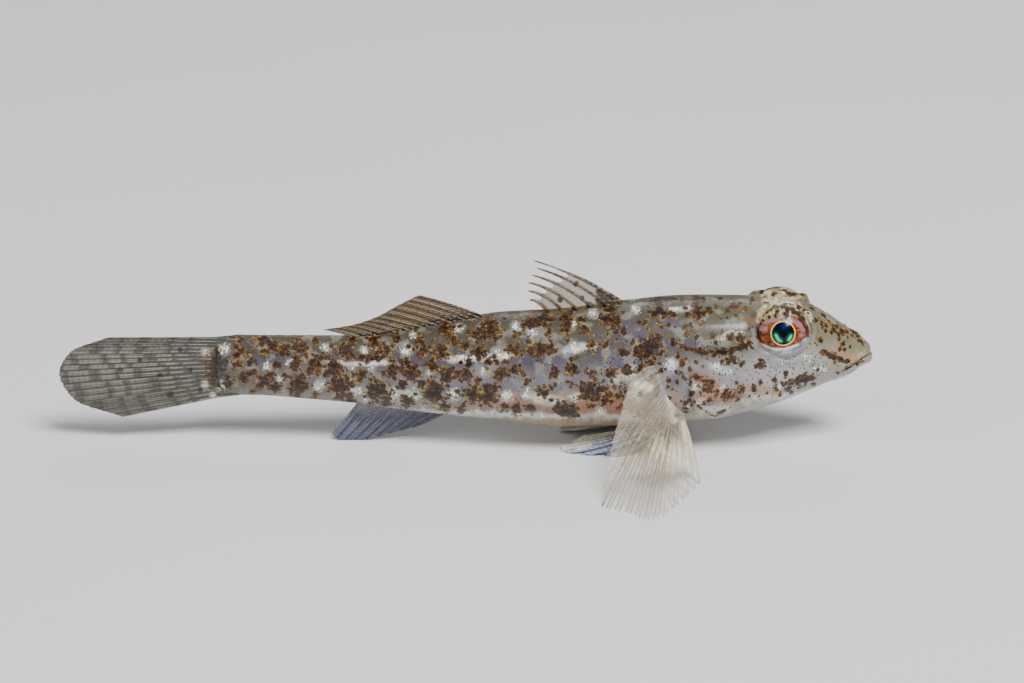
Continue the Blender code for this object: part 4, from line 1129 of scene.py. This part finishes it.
PECTORAL_MILK = [
    (690, 445, 8), (684, 425, 695, 465, 5), (668, 398, 674, 420, 4), (638, 385, 650, 388, 4.5),
    (676, 455, 14), (662, 450, 12),
]
PELVIC_MILK = [
    (604, 426, 560, 449, 5.0), (590, 444, 578, 449, 2.0), (620, 430, 575, 440, 6.0),
    (625, 425, 566, 430, 5.0),
]
CAUDAL_MARKS = [
    (180, 350, 3), (160, 375, 3), (140, 360, 3), (200, 390, 3), (120, 370, 3), (190, 370, 3),
    (170, 395, 3),
]
CAUDAL_MILK = [(222, 350, 5), (221, 387, 5), (205, 384, 4), (205, 352, 4), (213, 395, 3)]

# Every fin: thickness of its skin, then, counted in rays, how far it runs past the outer rays, how
# wide it closes there and how closely its points crowd at a ray; its ripple, how far its tips press
# down on the floor and how far they stay off it
FIN_WEB = 0.05
RAY_MARGIN = 0.35
RAY_HEM = 0.13
RAY_CROWDING = 0.05
FIN_RIPPLE = 0.03
FIN_SINK = 0.08
FIN_CLEARANCE = 0.002


def crease_shade(distance, points):
    """Shade in the mouth cleft, in the nostrils and in front of the eye."""
    shade = 0.8 * mouth_share(distance) * bump(over_mouth(distance, points[:, 2]), CLEFT_WIDTH)
    for place, turn, radius, *_ in NOSTRILS:
        shade = np.maximum(shade, bump(from_nostril(points, place, turn), radius * 0.62))
    forward = smooth_step(-0.4, 0.4, points[:, 0] + EYE_DISTANCE)
    forward = forward * smooth_step(-1.0, 0.4, points[:, 2] - EYE_HEIGHT)
    return np.maximum(shade, 0.6 * forward * bump(eye_gap(points)[0], 0.10))


def brow_share(points, distance, level):
    """1 over and between the eyes."""
    gap, _, above_eye = eye_gap(points)
    brow = bump(np.maximum(gap - 0.25, 0.0), 0.22) * smooth_step(0.05, 0.55, above_eye)
    crown = smooth_step(4.3, 4.9, distance) * (1 - smooth_step(6.7, 7.3, distance))
    return np.maximum(brow, crown * smooth_step(0.90, 1.0, level))


def facing_camera(points, normal):
    """1 where the skin looks at the camera, the left side folded on the right, 0 where it turns away."""
    turned = np.sign(-points[:, 1:2] + 1e-9)
    away = normal * turned * np.array([0.0, 1.0, 0.0]) + normal * np.array([1.0, 0.0, 1.0])
    return smooth_step(-0.05, 0.30, -(away @ VIEW))


def make_skin(material):
    """The whole skin from lips to tail: one closed mesh."""
    work, u, v = grid_of(SKIN_RINGS, SKIN_SIDES)
    distance = curve_through(SKIN_SPACING, u)
    angle = (v - 0.5) * 2 * math.pi
    points, normal = skin_point(distance, angle)
    place = photo_place(points)
    facing = facing_camera(points, normal)
    middle = plain_point(distance, np.zeros(len(distance)))[:, 2]
    lowest = plain_point(distance, np.full(len(distance), math.pi))[:, 2]
    level = (points[:, 2] - lowest) / np.maximum(middle - lowest, 0.05)
    first, second = scale_lattice(distance, angle)
    cheek = smooth_step(2.6, 4.5, distance) * (1 - smooth_step(9.5, 11.0, distance))
    flank = smooth_step(0.12, 0.30, level) * (1 - smooth_step(0.80, 0.95, level))
    above = (distance, np.abs(points[:, 1]))
    top = smooth_step(0.75, 0.95, level)

    def seen(marks):
        return marks_at(place, marks) * facing

    def on_top(marks):
        return marks_at(above, marks) * top

    brown = [seen(HEAD_BROWN + BACK_BROWN + SIDE_BROWN), 0.62 * seen(FAINT_BROWN), on_top(TOP_BROWN)]
    strays = (0.28 + 0.52 * smooth_step(10.5, 14.5, distance)) * (1 - 0.7 * cheek)
    scaled = smooth_step(SCALES_START, SCALES_START + 2.0, distance)
    values = {
        "station": np.clip(distance / TAIL_ROUND_END, 0.0, 1.0),
        "level": level,
        "brown": np.maximum.reduce(brown),
        "dark": seen(DARK),
        "pale": np.maximum(seen(PALE), on_top(TOP_PALE)),
        "tan": seen(TAN),
        "pink": seen(PINK),
        "orange": np.maximum(seen(ORANGE), on_top(TOP_ORANGE)),
        "violet": seen(VIOLET),
        "pearl_sheen": marks_at(place, PEARL_SHEEN_MARKS),
        "crown": brow_share(points, distance, level),
        "painted_crease_shade": np.maximum(crease_shade(distance, points), 0.45 * seen(CREASE_SHADE_MARKS)),
        "pocket_a": first,
        "pocket_b": second,
        "scaled": scaled * smooth_step(0.08, 0.25, level),
        "strays": strays * smooth_step(0.16, 0.34, level),
        "specks": np.maximum((0.10 + 0.30 * cheek) * flank, seen(SPECKLED)),
    }
    return piece_from(work, "skin", points, values, material)


def make_eye(name, side, material):
    """Lens-shaped eye with its cornea, built on the right side and turned over for the left."""
    work = bmesh.new()
    bmesh.ops.create_uvsphere(work, u_segments=EYE_SEGMENTS, v_segments=EYE_RINGS, radius=1.0)
    ball = np.array([vert.co[:] for vert in work.verts])
    polar = np.arccos(np.clip(ball[:, 2], -1.0, 1.0))
    depth = EYE_DEPTH + CORNEA_RISE * bump(polar, CORNEA_SPREAD)
    points = EYE_CENTRE + EYE_AXIS * (ball[:, 2] * depth)[:, None]
    points = points + EYE_UP * ball[:, 1:2] * EYE_RADIUS
    points[:, 0] = points[:, 0] + ball[:, 0] * EYE_RADIUS
    front = ball[:, 0] * EYE_RADIUS - PUPIL_PLACE[0]
    up = ball[:, 1] * EYE_RADIUS - PUPIL_PLACE[1]
    pupil = (front / PUPIL_RADIUS, up / PUPIL_RADIUS)
    place = photo_place(points)
    above = (-points[:, 0], -points[:, 1])
    near = smooth_step(-0.05, 0.15, ball[:, 2])
    lid = smooth_step(-1.2, 1.2, curve_through(EYE_LID_EDGE, place[0]) - place[1])
    silver = smooth_step(-1.0, 1.0, place[1] - curve_through(EYE_LOW_EDGE, place[0]))
    across = (place[0] - EYE_DISC[0]) / EYE_DISC[2]
    in_disc = np.sqrt(across**2 + ((place[1] - EYE_DISC[1]) / EYE_DISC[3]) ** 2)

    def seen(marks):
        return marks_at(place, marks) * near

    def on_top(marks):
        return marks_at(above, marks) * (1 - near)

    values = {
        "gaze_front": front,
        "gaze_up": up,
        "lid": np.maximum(lid, 1 - near),
        "silver": silver * near,
        "fold": smooth_step(0.955, 1.0, in_disc) * smooth_step(330, 336, place[1]) * near,
        "white_line": 0.9 * seen(EYE_WHITE),
        "pink": seen(EYE_PINK),
        "brown": np.maximum(seen(EYE_BROWN), on_top(TOP_BROWN)),
        "dark": np.maximum(seen(EYE_DARK), on_top(TOP_DARK)),
        "orange": on_top(TOP_ORANGE),
        "dark_rim": seen(EYE_RIM),
        # Painted reflections of the lights in the lens
        "painted_glint": marks_at(pupil, EYE_GLINT_REFLECTIONS) * near,
        "painted_blue_reflection": marks_at(pupil, EYE_BLUE_REFLECTION) * near,
    }
    if side > 0:
        points[:, 1] = -points[:, 1]
    return piece_from(work, name, points, values, material)


def paths(table, q, count):
    """Columns of a fin table at shares across the fin."""
    return [curve_through([(row[0], row[k]) for row in table], q) for k in range(1, count + 1)]


def middle_fin_paths(bases, tips, bulge):
    """Root, bend and tip of a fin on the mid line at any share across it."""

    def at(q):
        base = paths(bases, q, 2)
        tip = paths(tips, q, 2)
        start = np.stack([-base[0], 0 * q, base[1]], axis=-1)
        end = np.stack([-tip[0], 0 * q, tip[1]], axis=-1)
        return start, (start + end) / 2 + np.array([0.0, 0.0, bulge]), end

    return at


def pectoral_paths(q):
    """Root, bend and tip of the right pectoral fin at any share across it."""
    distance = curve_through(PECTORAL_ROOT_DISTANCE, q)
    angle = np.radians(curve_through(PECTORAL_ROOT_ANGLE, q))
    start, normal = skin_point(distance, angle)
    start = start - normal * ROOT_SINK
    tip = paths(PECTORAL_TIPS, q, 3)
    end = np.stack([-tip[0], -tip[1], tip[2]], axis=-1)
    return start, start + (end - start) * 0.5 + np.array([0.0, -0.3, PECTORAL_BEND]), end


def pelvic_paths(q):
    """Root, bend and tip of the right pelvic fin at any share across it."""
    root = paths(PELVIC_ROOTS, q, 3)
    tip = paths(PELVIC_TIPS, q, 3)
    start = np.stack([-root[0], -root[1], root[2]], axis=-1)
    end = np.stack([-tip[0], -tip[1], tip[2]], axis=-1)
    bend = (start + end) / 2
    bend[..., 2] = start[..., 2] + (end[..., 2] - start[..., 2]) * PELVIC_DROP
    return start, bend, end


def fin_middle(at, q, v):
    """Middle surface of a fin, carried a little past its outer rays."""
    kept = np.clip(q, 0.0, 1.0)

    def point(share):
        start, bend, end = at(share)
        t = v[..., None]
        return (1 - t) ** 2 * start + 2 * t * (1 - t) * bend + t**2 * end

    here = point(kept)
    inside = np.clip(kept, 0.01, 0.99)
    slope = (point(inside + 0.01) - point(inside - 0.01)) / 0.02
    return here + (q - kept)[..., None] * slope


def count_in_rays(u, count):
    """Place across the fin counted in rays, out along one face and back along the other."""
    x = (1 - np.abs(2 * u - 1)) * (count - 1 + 2 * RAY_MARGIN) - RAY_MARGIN
    return x - RAY_CROWDING * np.sin(2 * math.pi * x)


def gap_to_twig(x, v, split, spread, twigs):
    """Distance from the nearest ray or, where it has forked, from its branches, counted in rays."""
    fork = spread * smooth_step(split, split + 0.3, v)
    twig = twigs * spread * smooth_step(split + 0.25, split + 0.45, v)
    return np.abs(np.abs(np.abs(x - np.round(x)) - fork) - twig)


def ray_phase(x):
    """A number from 0 to 1 of each ray's own, so that the joints of the rays don't line up."""
    return (7.31 * np.sin(12.9898 * np.round(x) + 1.7)) % 1.0


def fin_border(x, v, count):
    """1 inside the fin, fading to 0 at its edges, where its two faces meet."""
    last = count - 1 + RAY_MARGIN
    ends = smooth_step(0.0, 0.012, v) * smooth_step(1.0, 0.985, v)
    return ends * smooth_step(-RAY_MARGIN, RAY_HEM - RAY_MARGIN, x) * smooth_step(last, last - RAY_HEM, x)


def fin_frame(at, q, share):
    """Middle of the fin, its direction across the faces and its width for each share of q."""
    step = 0.004
    across = fin_middle(at, q + step, share) - fin_middle(at, q - step, share)
    along = fin_middle(at, q, np.clip(share + step, 0, 1)) - fin_middle(at, q, np.clip(share - step, 0, 1))
    width = np.sqrt((across**2).sum(axis=1)) / (2 * step)
    return fin_middle(at, q, share), unit(np.cross(across, along)), width


def make_fin(name, at, count, material, rows=72, columns=16, ray=0.075, notch=0.1, split=0.5, spread=0.17,
             side=-1, on_floor=False, marks=(), dark=(), milk=(), flesh=0.12, base=0.1, dashes=0.5,
             dash_pace=4.2, fringe=0.16, twigs=0.45, whole=0.0):
    """One fin: thin skin between jointed rays that fork toward the edge."""
    work, u, v = grid_of(2 * columns * count, rows)
    x = count_in_rays(u, count)
    q = x / (count - 1)
    from_twig = gap_to_twig(x, v, split, spread, twigs)
    cut = notch * (1 - whole * (1 - smooth_step(0.15, 0.45, q)))
    reach = 1 - cut * (1 - bump(from_twig, fringe)) * smooth_step(0.3, 1.0, v)
    share = v * reach
    middle, normal, width = fin_frame(at, q, share)
    spacing = width / (count - 1)
    thick = np.minimum(ray * (1 - 0.4 * share), 0.16 * spacing)
    ridge = bump(from_twig * spacing, np.maximum(thick, 0.6 * spacing / columns))
    start, bend, end = at(np.clip(q, 0.0, 1.0))
    length = np.sqrt(((end - start) ** 2).sum(axis=1)) * share
    own = ray_phase(x)
    joint = 1 + 0.10 * np.sin((length + own) * JOINT_PACE)
    root = base * (1 - smooth_step(0.0, flesh + 0.12, share))
    half = (FIN_WEB / 2 + root + thick * ridge * joint) * fin_border(x, v, count)
    wave = np.sin((x - np.round(x)) * 2 * math.pi + 0.5 * np.round(x)) * smooth_step(0.15, 0.6, share)
    middle = middle + normal * (FIN_RIPPLE * wave)[:, None]
    if on_floor:
        middle[:, 2] = middle[:, 2] - FIN_SINK * share
        middle[:, 2] = np.maximum(middle[:, 2], half - AXIS_HEIGHT + FIN_CLEARANCE)
    points = middle + normal * (half * np.where(u < 0.5, 1.0, -1.0))[:, None]
    if on_floor:
        points[:, 2] = np.maximum(points[:, 2], -AXIS_HEIGHT)
    if side > 0:
        points[:, 1] = -points[:, 1]
    place = photo_place(points)
    beat = np.sin(length * dash_pace + 9.0 * own + np.sin(length * 1.7))
    values = {
        "ray": ridge,
        "reach": length + own,
        "dash": dashes * ridge * smooth_step(0.2, 0.8, beat),
        "brown": marks_at(place, marks),
        "dark": marks_at(place, dark),
        "milk": marks_at(place, milk),
        "flesh": 0.95 * (1 - smooth_step(0.05, flesh + 0.06, share)),
    }
    return piece_from(work, name, points, values, material)


def make_first_dorsal():
    """Six slender spines with deep notches between them."""
    skin = fin_material("first dorsal skin", (0.13, 0.080, 0.022), (0.120, 0.056, 0.006),
                        (0.012, 0.004, 0.002), 0.40)
    at = middle_fin_paths(FIRST_DORSAL_BASE, FIRST_DORSAL_TIPS, 0.8)
    return make_fin("first_dorsal", at, FIRST_DORSAL_SPINES, skin, notch=0.36, split=2.0, columns=22,
                    ray=0.11, marks=FIRST_DORSAL_MARKS, milk=FIRST_DORSAL_MILK, dashes=1.0,
                    dash_pace=6.0)


def make_second_dorsal():
    """Low brown fin whose rays fork from their roots."""
    skin = fin_material("second dorsal skin", (0.050, 0.026, 0.004), (0.130, 0.072, 0.008),
                        (0.010, 0.004, 0.002), 0.82, beads=0.6)
    at = middle_fin_paths(SECOND_DORSAL_BASE, SECOND_DORSAL_TIPS, 0.3)
    return make_fin("second_dorsal", at, SECOND_DORSAL_RAYS, skin, notch=0.02, split=0.02, spread=0.25,
                    columns=28, ray=0.045, marks=SECOND_DORSAL_MARKS, dashes=0.35)


def make_anal():
    """Blue-grey fin under the tail, whose rear corner meets the floor."""
    skin = fin_material("anal fin skin", (0.040, 0.043, 0.072), (0.17, 0.18, 0.26), (0.02, 0.02, 0.04),
                        0.62, beads=0.2)
    at = middle_fin_paths(ANAL_BASE, ANAL_TIPS, -0.2)
    return make_fin("anal", at, ANAL_RAYS, skin, notch=0.02, split=0.2, columns=20, ray=0.05,
                    on_floor=True, dashes=0.2)


def make_caudal():
    """Rounded tail fin with dark bands at its root."""
    skin = fin_material("caudal fin skin", (0.040, 0.036, 0.030), (0.21, 0.20, 0.165),
                        (0.006, 0.004, 0.003), 0.84, beads=0.2)
    at = middle_fin_paths(CAUDAL_BASE, CAUDAL_TIPS, 0.0)
    return make_fin("caudal", at, CAUDAL_RAYS, skin, notch=0.008, split=0.25, spread=0.2, ray=0.055,
                    marks=CAUDAL_MARKS, milk=CAUDAL_MILK, dark=DARK, base=0.36, dashes=0.9)


def make_pectoral(name, side, skin):
    """Wide clear fin on a fleshy base, with free ray tips along its lower edge."""
    return make_fin(name, pectoral_paths, PECTORAL_RAYS, skin, rows=84, columns=24, notch=0.24,
                    split=0.40, spread=0.22, twigs=0.0, fringe=0.12, whole=0.85, ray=0.046, flesh=0.20,
                    base=0.25, side=side, on_floor=True, marks=PECTORAL_MARKS, milk=PECTORAL_MILK,
                    dashes=0.45, dash_pace=2.6)


def make_pelvic(name, side, skin):
    """Small milky fin that lies on the floor under the chest."""
    return make_fin(name, pelvic_paths, PELVIC_RAYS, skin, notch=0.10, columns=20, split=0.4,
                    side=side, on_floor=True, milk=PELVIC_MILK, dashes=0.2)


def make_fins():
    """Every fin, each standing for its own CAD node."""
    made = [
        (make_first_dorsal(), "first_dorsal_fin", "dorsal_fins"),
        (make_second_dorsal(), "second_dorsal_fin", "dorsal_fins"),
        (make_anal(), "anal_fin", "anal_fin"),
        (make_caudal(), "caudal_fin", "caudal_fin"),
    ]
    clear = fin_material("pectoral fin skin", (0.60, 0.55, 0.42), (0.20, 0.115, 0.020),
                         (0.060, 0.022, 0.006), 0.13, beads=0.6, root=(0.27, 0.25, 0.265),
                         web_mark=0.45, ray_alpha=0.68)
    milky = fin_material("pelvic fin skin", (0.060, 0.075, 0.13), (0.40, 0.43, 0.54),
                         (0.03, 0.025, 0.03), 0.80, ray_veil=0.8)
    for side, word in SIDES:
        pectoral = make_pectoral("pectoral_" + word, side, clear)
        pelvic = make_pelvic("pelvic_" + word, side, milky)
        made.append((pectoral, "pectoral_fin_" + word, "pectoral_fins"))
        made.append((pelvic, "pelvic_fin_" + word, "pelvic_fins"))
    for piece, replaced, finish_slot in made:
        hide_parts(replaced)


# Colours of the studio
FLOOR_TONES = ((0.74, 0.74, 0.73), (0.78, 0.78, 0.77))
SKY_TONE = (0.90, 0.94, 1.0)


def make_floor():
    """Plain pale floor under the fish."""
    work = bmesh.new()
    bmesh.ops.create_grid(work, x_segments=1, y_segments=1, size=1.5)
    mesh = bpy.data.meshes.new("floor")
    work.to_mesh(mesh)
    work.free()
    material, tree, shader = new_material("pale floor", Roughness=0.7, Specular_IOR_Level=0.2)
    place = in_millimetres(tree)
    tone = blend_colour(tree, noise(tree, place, 0.02), *FLOOR_TONES)
    wire(tree, shader, Base_Color=tone)
    mesh.materials.append(material)
    floor = bpy.data.objects.new("floor", mesh)
    bpy.context.scene.collection.objects.link(floor)


def soft_light(name, place, size, power):
    """Square soft light aimed at the fish."""
    data = bpy.data.lights.new(name, "AREA")
    data.size = size
    data.energy = power
    light = bpy.data.objects.new(name, data)
    light.location = place
    aim = -np.array(place)
    tilt = math.acos(-aim[2] / np.sqrt((aim**2).sum()))
    light.rotation_euler = (tilt, 0.0, math.atan2(aim[1], aim[0]) - math.pi / 2)
    bpy.context.scene.collection.objects.link(light)


def make_studio():
    """Soft light from above the camera, a fill and a gentle sky."""
    soft_light("key light", (0.20, -0.27, 0.50), 0.22, 5.4)
    soft_light("fill light", (-0.40, -0.25, 0.25), 0.35, 0.8)
    soft_light("back light", (0.05, 0.45, 0.40), 0.30, 0.5)
    world_light = bpy.data.worlds.new("studio")
    world_light.use_nodes = True
    sky = world_light.node_tree.nodes["Background"]
    sky.inputs["Color"].default_value = opaque(SKY_TONE)
    sky.inputs["Strength"].default_value = 0.22
    bpy.context.scene.world = world_light


def build():
    place_camera()
    skin = make_skin(skin_material())
    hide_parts("head", "trunk", "tail")
    look = eye_material()
    for side, word in SIDES:
        eye = make_eye("eyeball_" + word, side, look)
        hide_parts("eye_" + word)
    make_fins()
    make_floor()
    make_studio()


build()
